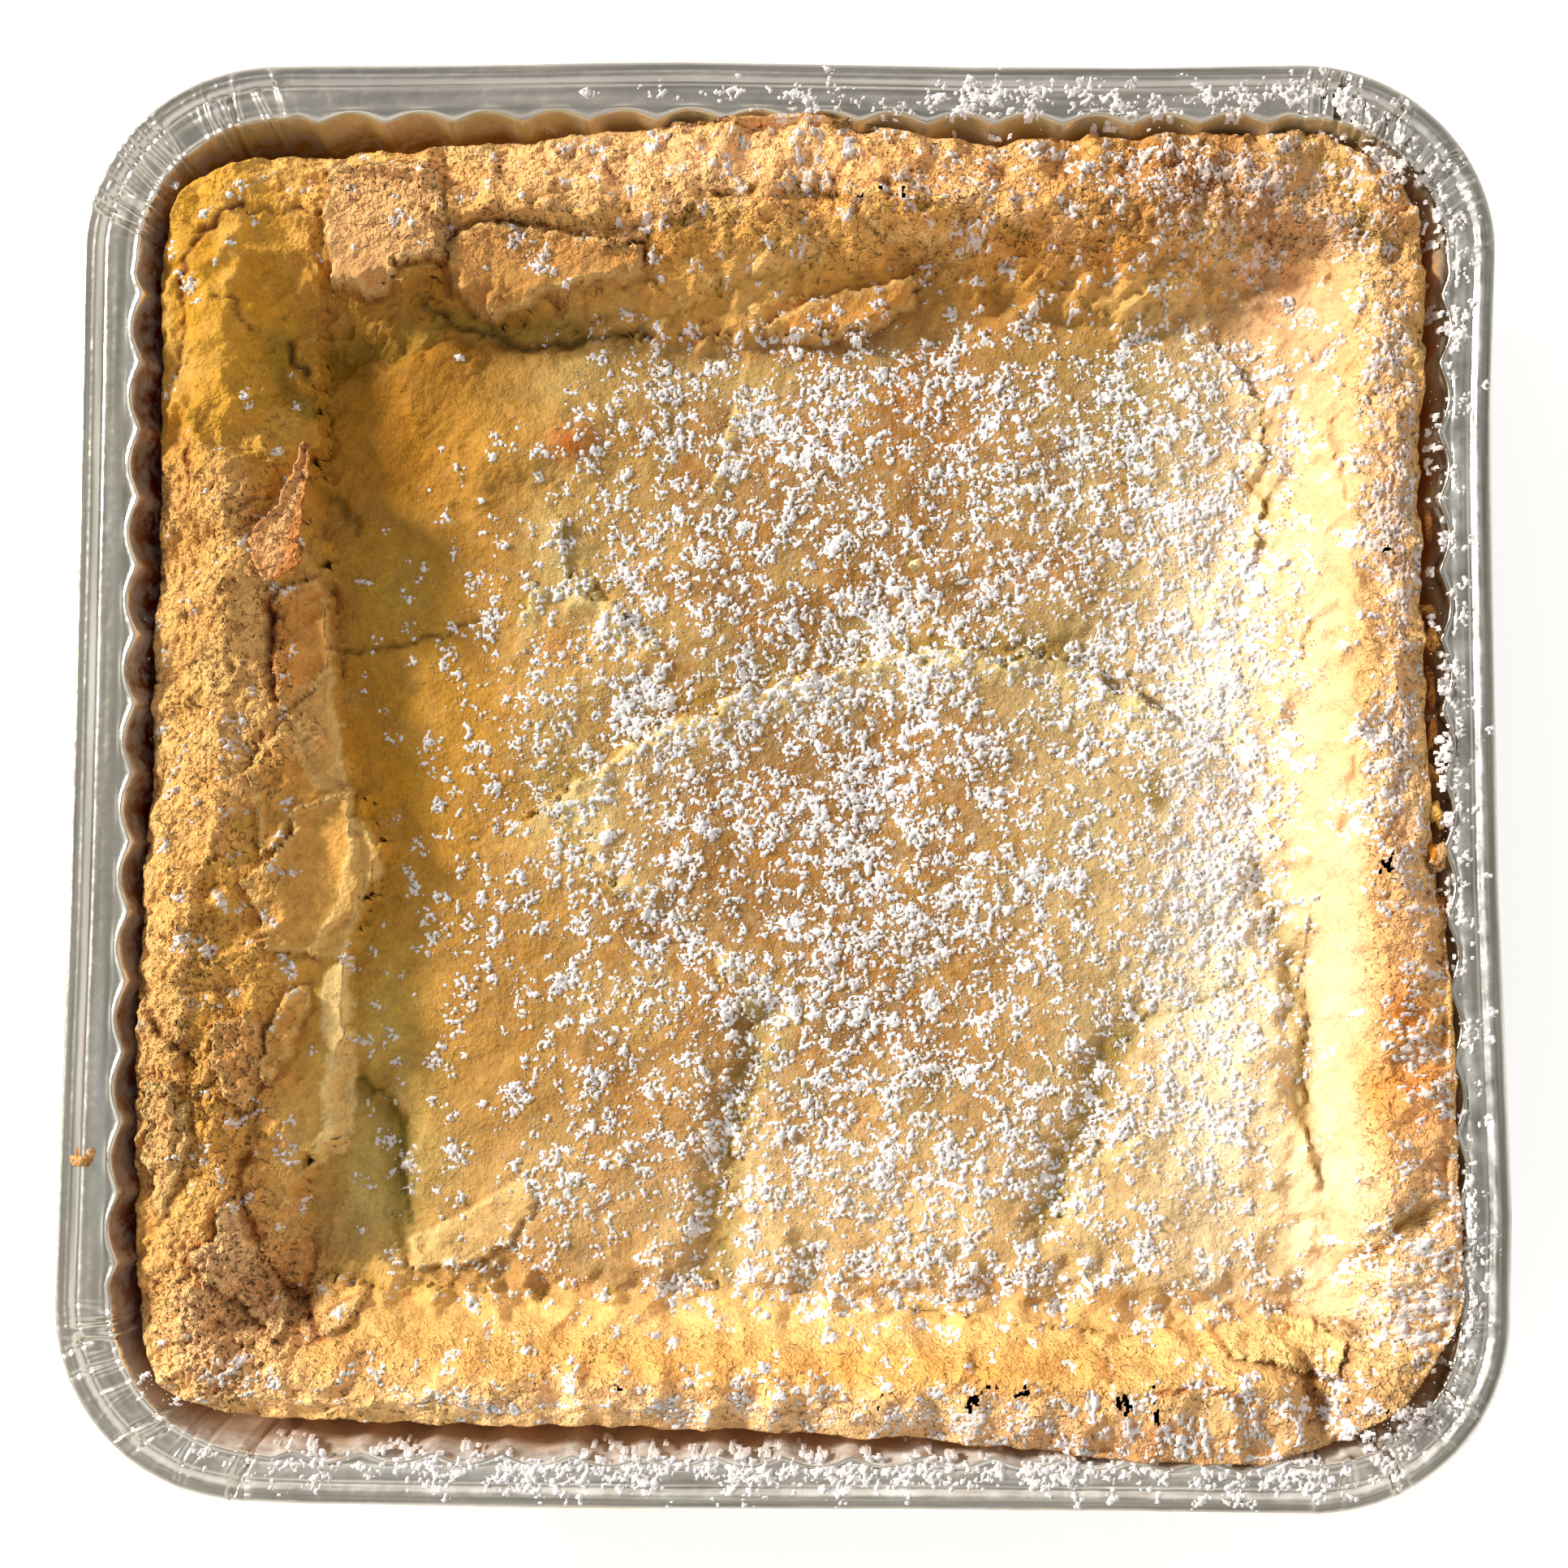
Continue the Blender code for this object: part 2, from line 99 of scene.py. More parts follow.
# The foil's cross-section from the curled tip to the floor: inset from the outer edge, and height
FOIL_PROFILE = [
    (1.5, 34.5), (0.7, 34.1), (0.15, 34.4), (0, 34.9), (0.12, 35.4), (0.45, 35.8), (0.9, 35.95),
    (1.3, 35.8), (1.6, 35.75), (1.9, 35.9), (2.3, 35.85), (2.7, 35.5), (3, 35.2), (3.25, 35.1),
    (3.5, 35.25), (3.9, 35.36), (4.3, 35.3), (4.7, 35.36), (5.2, 35.38), (5.8, 35.3), (6.2, 35.1),
    (6.6, 34.95), (6.95, 35.05), (7.25, 35.3), (7.5, 35.25), (7.75, 34.8), (8.1, 33.9), (8.7, 32.4),
    (9.6, 30.2),
    (10.6, 27.6), (11.8, 24.6), (13.1, 21.2), (14.7, 17.1), (16.4, 12.7), (18.2, 8.1), (19.4, 5),
    (20.2, 3.1), (21.1, 1.5), (22, 0.75), (22.9, 0.5), (26, 0.5),
]
PLEATS_PER_CORNER = 46
PLEAT_DEPTH = 0.42
PLEAT_RANGE = 23.0
PLEAT_WIDTH = (0.3, 0.75)
PLEAT_SLANT = 0.35
PLEAT_STARTS = [0.0, 0.0, 3.5]
PLEAT_SPAN = (4.0, 16.0)
PLEAT_END = 16.0
CRIMPS_PER_CORNER = 12
CRIMP_RANGE = (26.0, 74.0)
CRIMP_WIDTH = (0.5, 1.2)
CRIMP_DEPTH = 0.35
BEAD_SHARE = 0.35

# Cake: how it sits in the pan
CLEARANCE = -0.3
CAKE_BASE_Z = 0.8
GRID_CELLS = 400
MIDDLE_SHARE = 0.76
SIDE_LEVELS = (20.0, WALL_FOOT_Z, CAKE_BASE_Z)
BORDER_REFINEMENT = 0.2
CORNER_POWER = 3.0

# Cake: the border's height along each wall, and the sunken middle
EDGE_Z = {LEFT: 30.5, RIGHT: 33.6, TOP: 32.4, BOTTOM: 34.2}
CREST_Z = {LEFT: 33.6, RIGHT: 36.6, TOP: 35.6, BOTTOM: 36.6}
CREST_IN = {LEFT: 9.0, RIGHT: 8.0, TOP: 11.0, BOTTOM: 8.0}
LIP_RISE = {LEFT: 5.8, RIGHT: 1.5, TOP: 2.6, BOTTOM: 2.2}
LIP_RUN = {LEFT: 0.8, RIGHT: 3.4, TOP: 2.6, BOTTOM: 1.6}
SIDE_BLEND = 14.0
MIDDLE_Z = 22.4
MIDDLE_TILT = 0.018

# Where the border ends, as places along each side and the inner limit there
INNER_LIMIT = {
    LEFT: [(-58.5, -69.6), (-52.6, -64.8), (-27.9, -63.7), (-11.9, -59.5), (11.3, -66.1), (42.6, -69.6)],
    RIGHT: [(-69.2, 77.2), (-28.2, 76.4), (3.9, 69.5), (24.3, 63.7), (43.7, 72.2), (70.6, 73.6)],
    TOP: [(-75, 64), (-50, 67.6), (-2.4, 67.7), (21.7, 76.4), (52, 68), (71, 76.5)],
    BOTTOM: [(-56.7, -71.3), (-40.2, -75.8), (19.7, -76.5), (48.9, -79.7), (76.9, -77.8)],
}

# Where the cake's edge lies, as places along each side and the edge there
EDGE_LINE = {
    LEFT: [(-81.5, -91.3), (-64, -92.3), (-35, -92.4), (-6, -91.7), (30, -91.2), (75, -91.7)],
    RIGHT: [(-85, 95.8), (-63, 96.1), (-34, 95.1), (-5, 92.6), (30, 91.2), (80, 93)],
    TOP: [(-74, 90.8), (-56, 91.4), (-38, 92.7), (-14, 95.8), (5, 96.4), (27, 92.8), (57, 94.1),
          (81, 95.3)],
    BOTTOM: [(-72, -91.9), (-24, -92.6), (5, -93.5), (27.5, -94.5), (50, -97.1), (67.5, -96.9),
             (85, -93.4)],
}
EDGE_PULL = 8.0
EDGE_RAGGED = 0.5
EDGE_NOISE_CELL = 5.0
EDGE_NOISE_APART = 40.0
EDGE_NOISE_DRIFT = 0.3
CORNER_START = 74.0
CORNER_RUN = 14.0
CRUST_OVER_FOIL = 0.5
ROOM_ABOVE = 0.4
EDGE_LEVEL = 32.5

# The torn edge of the browned crust along the left, as (place along Y, place along X)
TORN_EDGE = [(-60.0, -86.0), (-16.6, -83.5), (-6.0, -77.9), (-0.1, -73.3), (5.9, -65.8), (9.4, -71.7)]
TORN_EDGE += [(22.4, -73.2), (30.7, -75.2), (52.0, -80.0)]
TORN_RISE = 1.8
TORN_RUN = 0.7
TORN_WIDTH = 3.0
TORN_REACH = 12.0

# Cracks: a line, its depth and its width
CRACKS = [
    ([(-2.9, -34.6), (-7, -52.3), (-9.2, -71.1)], 2, 3.6),
    ([(51.7, -33), (42.2, -53.2), (38.6, -63.7)], 1.5, 3),
    ([(70.6, -15.2), (75.1, -35.3), (75.6, -49.4)], 1.6, 2.6),
    ([(-62.4, -44.4), (-57.3, -51.5), (-55.4, -68)], 1.6, 2.6),
    ([(-75.7, 64.1), (-75, 58), (-70.7, 54.2)], 2.6, 2.8),
    ([(-66.6, 62.8), (-49.7, 68.4), (-32.7, 67.3)], 2.4, 2.8),
    ([(89.4, -61.7), (85.3, -66.4), (80.6, -69.8)], 2, 2.4),
    ([(74.6, -83.4), (76.3, -90.2)], 1.8, 2.4),
    ([(79.2, 89.2), (85, 79.4), (87.4, 75.8)], 1.6, 2.4),
]

# The long fault across the middle: the crust below it stands over a valley above it
FAULT = [(-34.4, -2.5), (-20.1, 6.7), (-5.1, 13.1), (19.5, 19.3), (39.9, 18.4), (51.9, 12.4)]
FAULT_RISE = 1.6
FAULT_FALL = 2.0
FAULT_REACH = 7.0

# Mounds and hollows: place, radius and height
MOUNDS = [
    (-54.5, 62.9, 8, 3.6),
    (-44.5, 48.2, 7, 2.8),
    (-32.5, 50.1, 6, 2.2),
    (-84, -75.3, 3.4, 2.6),
    (-78.3, -70.8, 3.2, 2),
    (-81.5, -84.4, 3.6, 2.2),
    (-70.7, -76.4, 3.2, -4.6),
    (-74, 22, 3.4, -4.4),
    (84, -74.5, 3, -2.6),
]

# Slabs of crust that lie flat: corners in order against the clock, and height
SLABS = [
    ([(-67.3, 89.6), (-66.9, 72), (-50.9, 72.6), (-49.9, 86)], 34.6),
    ([(-50.7, 81.7), (-48.8, 71.9), (-41.5, 67.7), (-21.4, 74.4), (-20.2, 80.5)], 32.4),
    ([(-3.6, 66.6), (9.7, 65.4), (21.6, 75.9), (4.8, 73.4)], 27.4),
    ([(-70.2, 45.7), (-76.8, 33.8), (-74.5, 27.3), (-69.4, 36.2)], 35.6),
]
SLAB_EDGE = 1.0
SLAB_SHARE = 0.8

# Roughness of the crust: cell size and height of each layer of noise, and its seed
CRAG_LAYERS = [(9.0, 1.5, 11), (4.8, 0.8, 12)]
LUMP_LAYERS = [(21.0, 1.4, 21), (9.5, 0.9, 22)]
CRAG_WIDTH = 26.0
CRAG_FADE = 12.0
CRUST_FLATTENS = 0.6

# Fine breaks that only this surface has: a line, the step up to its left side, and the edge's colour
FLAPS = [
    ([(-33.5, 38.5), (-32.2, 31.2), (-26.8, 26.9), (-21.3, 21.5)], -1.1, "#e2cc88"),
    ([(-39.4, 23.9), (-38.2, 27.5), (-32.2, 28.1), (-26.8, 26.9)], -1, "#e2cc88"),
    ([(-33.1, -4.9), (-27.6, -8.5), (-28.2, -13.3), (-23.3, -16.9)], 1, "#e8d08c"),
    ([(-12.5, -25.1), (-8.9, -28.7), (-4.1, -35.8)], 0.9, "#e8d08c"),
    ([(-3, -34.6), (-3.6, -44), (-7, -54), (-8, -62), (-9.2, -71.1)], 1.3, "#ecd696"),
    ([(-7.8, 58.1), (-9, 52), (-10.7, 45.3)], 0.9, "#dcc47c"),
    ([(39.7, -63.6), (40.9, -56), (51.5, -51.9)], -1, "#ecd696"),
    ([(-20.3, 66.9), (-14.3, 70), (-10.2, 71.8), (-2.4, 74.3), (4.8, 75.6)], 1.2, "#d8b066"),
    ([(-23.6, 77.4), (-14.2, 82), (-4.7, 86.2), (8.3, 84.1), (26.1, 82.1), (37.9, 78.8)], 1.5, "#e8b06c"),
    ([(-76.7, -72.5), (-46, -75), (-28, -75.6), (-12, -73.6), (6, -75), (19.7, -77),
      (48.9, -80.2), (70, -79)], -1.5, "#f0ba68"),
    ([(62, 70), (70, 55), (71, 42), (66, 26)], -0.8, "#f6dca6"),
    ([(76, -22), (75.8, -36), (76, -50), (78, -64)], -0.9, "#fae2ac"),
]
FLAP_FADE = 4.0
FLAP_LIP = 2.6
FLAP_GAP = 1.1
FAULT_LIP_RISE = 0.9
FAULT_LIP = 3.4
FAULT_GAP = 4.0
PLATE_SIZE = 7.5
SEAM_WIDTH = 0.4
PIT_CELL = 1.7
PIT_RADIUS = (0.12, 0.3)
PIT_SHARE = 0.4
PIT_DEPTH = 0.45

# Torn sheets of crust: outline, how far the torn edge stands up, how fast that falls off, and colour
SHEETS = [
    ([(-66.7, 90.3), (-62.9, 89.6), (-55.8, 90.6), (-51, 88.1), (-49.9, 78.5), (-50.2, 75.8), (-57.6, 74.8),
      (-57.2, 72.8), (-62.5, 70.7), (-66.4, 72.4), (-67.6, 79.6)], 1.5, 7, "#dca66c", 0.8),
    ([(-50, 77.9), (-49.6, 72.8), (-46.2, 69.4), (-43.2, 68), (-39.7, 69.4), (-32, 71.9), (-21.3, 73.7),
      (-21.2, 77.4), (-32.1, 79.2), (-44, 81.3)], 1.3, 6, "#bd8444", 0.75),
    ([(10.7, 84.9), (17.8, 85.4), (23.1, 83.1), (25.5, 81.3), (22.5, 78.6), (15.4, 78.5), (11.3, 81.3)],
     1, 4, "#e2a452", 0.6),
    ([(-2.9, 66.5), (-1.1, 68.6), (4.8, 71.1), (13.1, 72.6), (19.1, 75), (18.9, 70.8), (13.2, 67.2),
      (3.7, 65.1), (-0.5, 65.3)], 1.2, 4, "#cf9044", 0.85),
    ([(-74.9, 24.1), (-73.4, 26.8), (-70.2, 28.9), (-67.4, 27.2), (-66.4, 19.1), (-66.1, 15.3), (-68.4, 14.1),
      (-71, 11.3), (-72.4, 8.9), (-73.3, 10.6), (-74.5, 16.1), (-75, 19.7)], 1.4, 6, "#d8984a", 0.9),
    ([(-68.6, 14.3), (-66.3, 15.5), (-65.7, 8.6), (-64.6, 2.1), (-63.2, -2.6), (-68.3, -1.4), (-70.7, 4.5),
      (-71.9, 8.6)], 0.3, 6, "#e0ae66", 0.9),
    ([(-72.5, 6.9), (-74.8, 4.3), (-77, -0.4), (-75.9, -6.9), (-75.6, -12.8), (-72.7, -10.4), (-71, -6.3),
      (-63.4, -2.7), (-68.2, -1.5), (-70.5, 4.4)], 0.9, 4, "#d09648", 0.7),
    ([(-71.1, -5.6), (-71.3, -8.6), (-73.9, -12.7), (-77.9, -16.8), (-75.7, -19.8), (-74.2, -25.6),
      (-67.7, -26.7), (-66.6, -23.2), (-62.8, -20.9), (-61.5, -15), (-62.9, -5.6), (-63.5, -2.6)],
     1.2, 5, "#d29c50", 0.75),
    ([(-63.2, -5.4), (-59.6, -9.5), (-58.6, -12.7), (-60.9, -17.8), (-62.7, -23.1), (-63.1, -26.6),
      (-68.7, -26.7), (-67.4, -23.1), (-65.1, -19.6), (-63.3, -12.5)], 0.2, 6, "#dcac60", 0.9),
    ([(-63.1, -26.6), (-63.4, -32.5), (-62.9, -40.7), (-63, -50), (-64.1, -54.7), (-68.4, -57),
      (-66.5, -52.4), (-66.2, -40.7), (-67, -29)], 0.2, 6, "#ecc884", 0.9),
    ([(-79.7, -62.7), (-78, -61.5), (-76.1, -65), (-75.5, -69.5), (-72.5, -72.9), (-70.6, -79.7),
      (-71.8, -81.4), (-75.9, -77.5), (-80.3, -73.6), (-84.1, -69.4), (-80.5, -67.3)],
     1.6, 4, "#e6b47e", 0.85),
    ([(-66.6, -81.4), (-64.9, -78), (-59.8, -75.3), (-60.9, -77.9), (-63.1, -80.2)], 1.3, 3, "#e0b070", 0.85),
    ([(-90.2, -44.4), (-86.6, -45.5), (-84.2, -49), (-84.4, -54.7), (-86.3, -59.3), (-87.9, -63.9),
      (-89.3, -62.8), (-90.3, -54.8)], 1.2, 3, "#c89a5c", 0.7),
    ([(-81, -36.2), (-77, -35.1), (-74.6, -37.4), (-74.7, -44.3), (-76.7, -48.9), (-79.6, -46.6),
      (-81.3, -40.9)], 1.2, 3, "#c88e50", 0.7),
    ([(-74, -36.8), (-71.2, -32.1), (-68.9, -31), (-68.3, -33.8), (-70, -36.2), (-71, -40.8),
      (-73.3, -45.4), (-74.6, -44.3)], 1.3, 3, "#d49a4e", 0.8),
    ([(-54.8, -67.5), (-49.5, -65.7), (-42.5, -61.5), (-37.9, -58.6), (-35.5, -61.5), (-40.1, -68.5),
      (-47.1, -71.5), (-54.1, -71.4)], 0.7, 7, "#e0b878", 0.55),
    ([(63, -79.5), (69, -76.5), (76, -77.5), (80.5, -80.5), (79, -85.5), (71, -84), (64.5, -82.5)],
     1.3, 5, "#f2c680", 0.7),
]
SHEET_JAG = 0.6
SHEET_EDGE = 0.4

# Where the form hardly wavers: place, reach and how calm it is
CALM_SPOTS = [
    (79, -6, 13, 82, 0.85),
    (0, -85, 100, 13, 0.88),
    (-65.5, -14, 4.5, 48, 0.8),
    (-82, 70, 14, 24, 0.6),
]

# Thin cracks and creases in the skin: a line, its width, colour and strength; their dark colours are partly
# painted shade in the cracks
CREASES = [
    ([(-80.1, 82.7), (-83.7, 80.7), (-86.6, 77.6), (-88.1, 74.6), (-88.8, 71.5)], 0.55, "#5c1c0c", 0.85),
    ([(-88.8, 71.5), (-87.9, 66.7), (-88.3, 62.4), (-89.7, 58.8)], 0.4, "#6e2c10", 0.6),
    ([(-83.4, 69.5), (-81, 68.7), (-79.8, 66.7), (-78.5, 65.5)], 0.3, "#6a3412", 0.8),
    ([(-78.8, 82.2), (-74, 82), (-68.3, 82.3)], 0.35, "#7a5420", 0.6),
    ([(-73.7, 63.7), (-72.7, 60.6), (-71, 59.4)], 0.7, "#3c280a", 0.9),
    ([(-54, 70.1), (-49.2, 67.7), (-44.4, 66.9), (-39.5, 65), (-32.3, 65.7), (-26.3, 66.3), (-20.3, 66.9)],
     0.7, "#4a3a10", 0.75),
    ([(-75.1, 24.2), (-73.8, 14.2), (-73.3, 10.7)], 0.8, "#7c2a0a", 0.8),
    ([(-80, 37.1), (-78.3, 39), (-75.4, 40.5)], 0.35, "#5a3810", 0.8),
    ([(-88.1, 49.2), (-87, 46.5), (-87, 41.7), (-86.5, 39.6)], 0.35, "#7a2a10", 0.8),
    ([(-70.1, 42.7), (-67.6, 41.9), (-65.8, 40.1), (-64.3, 37)], 0.6, "#6e5a1c", 0.6),
    ([(-66.7, 18.7), (-64.3, 19), (-59.5, 19.6), (-53.5, 20.8), (-45.6, 23.5)], 0.4, "#6a4a14", 0.7),
    ([(-89.8, -35.1), (-88, -38), (-85.6, -40.3), (-83.8, -42)], 0.6, "#6a3410", 0.8),
    ([(-76.5, -54.7), (-77.6, -58.7), (-76.3, -63.9), (-74.9, -67.3)], 0.6, "#8a4612", 0.8),
    ([(-62.4, -44.4), (-57.8, -47.1), (-56.3, -50.6), (-56.1, -55.3), (-55.5, -60.5), (-54.5, -65.2)],
     0.45, "#6e6418", 0.8),
    ([(-69.4, -75.8), (-67.7, -78.4), (-65.4, -80.9)], 1, "#7a3a10", 0.8),
    ([(32.7, 19.6), (41, 17.4), (50.7, 16.1)], 0.4, "#6a5a1c", 0.7),
    ([(68.7, -11.7), (70.4, -18.8), (75.1, -22.3), (75.7, -38.8), (75.9, -52)], 0.35, "#a87c2c", 0.7),
    ([(49.1, -39), (55, -34.2), (63.2, -31.8), (68.5, -28.2)], 0.35, "#7c6c20", 0.6),
    ([(-28.8, 90.5), (-25.2, 86.9), (-20.2, 74.7)], 0.35, "#7a4a18", 0.6),
    ([(89.4, -61.7), (85.3, -66.4), (80.6, -69.8)], 0.3, "#b0661e", 0.9),
    ([(81.3, 2.2), (80.8, -4), (79.8, -8)], 0.35, "#b4702a", 0.8),
    ([(76, 22.5), (75.2, 17.5)], 0.35, "#c08430", 0.7),
    ([(81, 40), (80, 47), (79.4, 52)], 0.3, "#b4702a", 0.7),
    ([(66.7, 46), (69.6, 43.5), (70.8, 40.5)], 0.5, "#a8701c", 0.8),
    ([(52, -87.5), (60, -86), (66, -88.5)], 0.5, "#9a4c1a", 0.8),
    ([(74.6, -83.4), (76.3, -90.2)], 1, "#8a5220", 0.8),
    ([(80, -77.6), (82.4, -79.4)], 0.8, "#6a3c10", 0.8),
]
CREASE_WANDER = 0.8
CREASE_DEPTH = 0.9


def smooth(value):
    """Runs from 0 to 1 as value does, level at both ends."""
    t = np.clip(value, 0.0, 1.0)
    return t * t * (3.0 - 2.0 * t)


def noise(x, y, cell, seed):
    """Smooth gradient noise of about -1 to 1, whose bumps are a cell apart."""
    size = 64
    angles = np.random.default_rng(seed).uniform(0.0, 2.0 * math.pi, (size, size))
    column = np.floor(x / cell).astype(int)
    row = np.floor(y / cell).astype(int)
    fx = x / cell - column
    fy = y / cell - row

    def corner(i, j):
        angle = angles[(column + i) % size, (row + j) % size]
        return np.cos(angle) * (fx - i) + np.sin(angle) * (fy - j)

    low = corner(0, 0) + (corner(1, 0) - corner(0, 0)) * smooth(fx)
    high = corner(0, 1) + (corner(1, 1) - corner(0, 1)) * smooth(fx)
    return 1.5 * (low + (high - low) * smooth(fy))


def fractal(x, y, cell, seed, layers=3, gain=0.5):
    """Noise on noise, each layer half the size of the one before and lower by the gain."""
    total = np.zeros(np.shape(x))
    for layer in range(layers):
        total += gain**layer * noise(x, y, cell * 0.5**layer, seed + layer)
    return total


def nearest_dots(x, y, cell, seed):
    """Distances to the nearest two of dots scattered one to a cell, and the first's own random number."""
    size = 128
    rng = np.random.default_rng(seed)
    offset_x, offset_y, own = rng.uniform(0.0, 1.0, (3, size, size))
    column = np.floor(x / cell).astype(int)
    row = np.floor(y / cell).astype(int)
    nearest = np.full(np.shape(x), np.inf)
    second = np.full(np.shape(x), np.inf)
    number = np.zeros(np.shape(x))
    for i in (-1, 0, 1):
        for j in (-1, 0, 1):
            place = ((column + i) % size, (row + j) % size)
            dot_x = (column + i + offset_x[place]) * cell
            dot_y = (row + j + offset_y[place]) * cell
            distance = np.hypot(x - dot_x, y - dot_y)
            number = np.where(distance < nearest, own[place], number)
            second = np.minimum(second, np.maximum(distance, nearest))
            nearest = np.minimum(nearest, distance)
    return nearest, second, number


def line_distance(x, y, line):
    """Distance to a line of points, and on which side of it: positive is to its left."""
    nearest = np.full(np.shape(x), np.inf)
    side = np.zeros(np.shape(x))
    for (ax, ay), (bx, by) in zip(line, line[1:]):
        run = (bx - ax, by - ay)
        length = math.hypot(*run)
        along = np.clip(((x - ax) * run[0] + (y - ay) * run[1]) / length**2, 0.0, 1.0)
        distance = np.hypot(x - ax - along * run[0], y - ay - along * run[1])
        across = (run[0] * (y - ay) - run[1] * (x - ax)) / length
        side = np.where(distance < nearest, np.sign(across), side)
        nearest = np.minimum(nearest, distance)
    return nearest, side


def inside_polygon(x, y, corners):
    """How far a place lies inside a convex polygon whose corners run against the clock."""
    depth = np.full(np.shape(x), np.inf)
    for (ax, ay), (bx, by) in zip(corners, corners[1:] + corners[:1]):
        length = math.hypot(bx - ax, by - ay)
        depth = np.minimum(depth, ((bx - ax) * (y - ay) - (by - ay) * (x - ax)) / length)
    return depth


def spot(x, y, middle_x, middle_y, reach_x, reach_y, turn=0.0):
    """A soft oval spot: 1 at its middle, falling off over its reach, turned by some degrees."""
    across = x - middle_x
    along = y - middle_y
    cos, sin = math.cos(math.radians(turn)), math.sin(math.radians(turn))
    u = (across * cos + along * sin) / reach_x
    v = (along * cos - across * sin) / reach_y
    return np.exp(-(u**2 + v**2))


def cake_outline(z):
    """Half width, half depth and corner radius of the cake's side, just inside the wall's flutes."""
    levels = (FLOOR_Z, WALL_FOOT_Z, SHOULDER_Z)
    inset = np.interp(z, levels, (FLOOR_INSET, WALL_FOOT_INSET, SHOULDER_WIDTH))
    inset = inset + FLUTE_DEPTH + CLEARANCE
    radius = np.interp(z, levels, (CORNER_FLOOR, CORNER_BASE, CORNER_TOP))
    return PAN_HALF[0] - inset, PAN_HALF[1] - inset, radius


def onto_outline(u, v, half_x, half_y, radius):
    """Carries a square from -1 to 1 onto a rectangle with rounded corners."""
    reach = np.maximum(np.maximum(np.abs(u), np.abs(v)), 1e-6)
    edge_x = np.abs(u) / reach * half_x
    edge_y = np.abs(v) / reach * half_y
    centre_x = half_x - radius
    centre_y = half_y - radius
    dot = edge_x * centre_x + edge_y * centre_y
    square = np.maximum(edge_x**2 + edge_y**2, 1e-9)
    root = np.sqrt(np.maximum(dot**2 - square * (centre_x**2 + centre_y**2 - radius**2), 0.0))
    in_corner = (edge_x > centre_x) & (edge_y > centre_y)
    shrink = np.where(in_corner, (dot + root) / square, 1.0)
    shrink = 1.0 - (1.0 - shrink) * reach**CORNER_POWER
    return u * half_x * shrink + OPENING_SHIFT[0], v * half_y * shrink + OPENING_SHIFT[1]


def walls_at(x, y, level):
    """For each side: the places across it and along it, and where the cake's side stands at a level."""
    half_x, half_y, _ = cake_outline(level)
    return {
        LEFT: (x, y, OPENING_SHIFT[0] - half_x),
        RIGHT: (x, y, OPENING_SHIFT[0] + half_x),
        TOP: (y, x, OPENING_SHIFT[1] + half_y),
        BOTTOM: (y, x, OPENING_SHIFT[1] - half_y),
    }


def side_distances(x, y):
    """Distance from each wall, and the inner limit's distance from that wall."""
    found = {}
    for side, (across, along, wall) in walls_at(x, y, SHOULDER_Z).items():
        limit = np.interp(along, *zip(*INNER_LIMIT[side]))
        found[side] = (np.abs(across - wall), np.abs(limit - wall))
    return found


def border_and_middle(x, y):
    """Height of the plain form: the border's crest along each wall, falling to the middle."""
    middle = MIDDLE_Z + MIDDLE_TILT * x
    total = np.zeros(np.shape(x))
    weights = np.zeros(np.shape(x))
    for side, (distance, limit) in side_distances(x, y).items():
        crest_in = CREST_IN[side]
        rise = np.sin(np.clip(distance / crest_in, 0.0, 1.0) * math.pi / 2.0)
        height = EDGE_Z[side] + (CREST_Z[side] - EDGE_Z[side]) * rise
        lip = middle + LIP_RISE[side]
        height = height + (lip - height) * smooth((distance - crest_in) / (limit - crest_in))
        height = height + (middle - height) * smooth((distance - limit) / LIP_RUN[side])
        weight = np.exp(-((distance / SIDE_BLEND) ** 2)) + 1e-9
        total += weight * height
        weights += weight
    return total / weights


def wall_distance(x, y):
    """Distance from the nearest wall."""
    return np.minimum.reduce([found[0] for found in side_distances(x, y).values()])


def torn_share(x, y, run, rise_from=0.0):
    """1 left of the torn edge along the left side, rising over a short run across it."""
    torn = np.interp(y, *zip(*TORN_EDGE)) - x
    return smooth((torn - rise_from) / run)


def coarse_height(x, y):
    """Height of the cake's top as the solid has it."""
    height = border_and_middle(x, y)
    in_border = 1.0 - smooth((wall_distance(x, y) - CRAG_WIDTH + CRAG_FADE / 2.0) / CRAG_FADE)

    first, last = TORN_EDGE[0][0], TORN_EDGE[-1][0]
    in_torn_run = smooth((y - first) / TORN_REACH) * smooth((last - y) / TORN_REACH)
    ridge = torn_share(x, y, TORN_RUN) - torn_share(x, y, TORN_REACH, TORN_WIDTH)
    height += TORN_RISE * in_torn_run * ridge

    distance, side = line_distance(x, y, FAULT)
    step = np.where(side < 0.0, FAULT_RISE, -FAULT_FALL) * smooth(distance)
    height += step * np.exp(-distance / FAULT_REACH)

    for mound_x, mound_y, radius, rise in MOUNDS:
        height += rise * np.exp(-((x - mound_x) ** 2 + (y - mound_y) ** 2) / radius**2)
    for cell, rise, seed in CRAG_LAYERS:
        height += in_border * rise * (1.0 - 2.0 * np.abs(noise(x, y, cell, seed)))
    for cell, rise, seed in LUMP_LAYERS:
        height += (1.0 - CRUST_FLATTENS * in_border) * rise * noise(x, y, cell, seed)
    for corners, level in SLABS:
        share = smooth(inside_polygon(x, y, corners) / SLAB_EDGE + 0.5)
        height += SLAB_SHARE * share * (level - height)
    for line, depth, width in CRACKS:
        distance, _ = line_distance(x, y, line)
        height -= depth * np.exp(-((distance / width) ** 2))
    return height


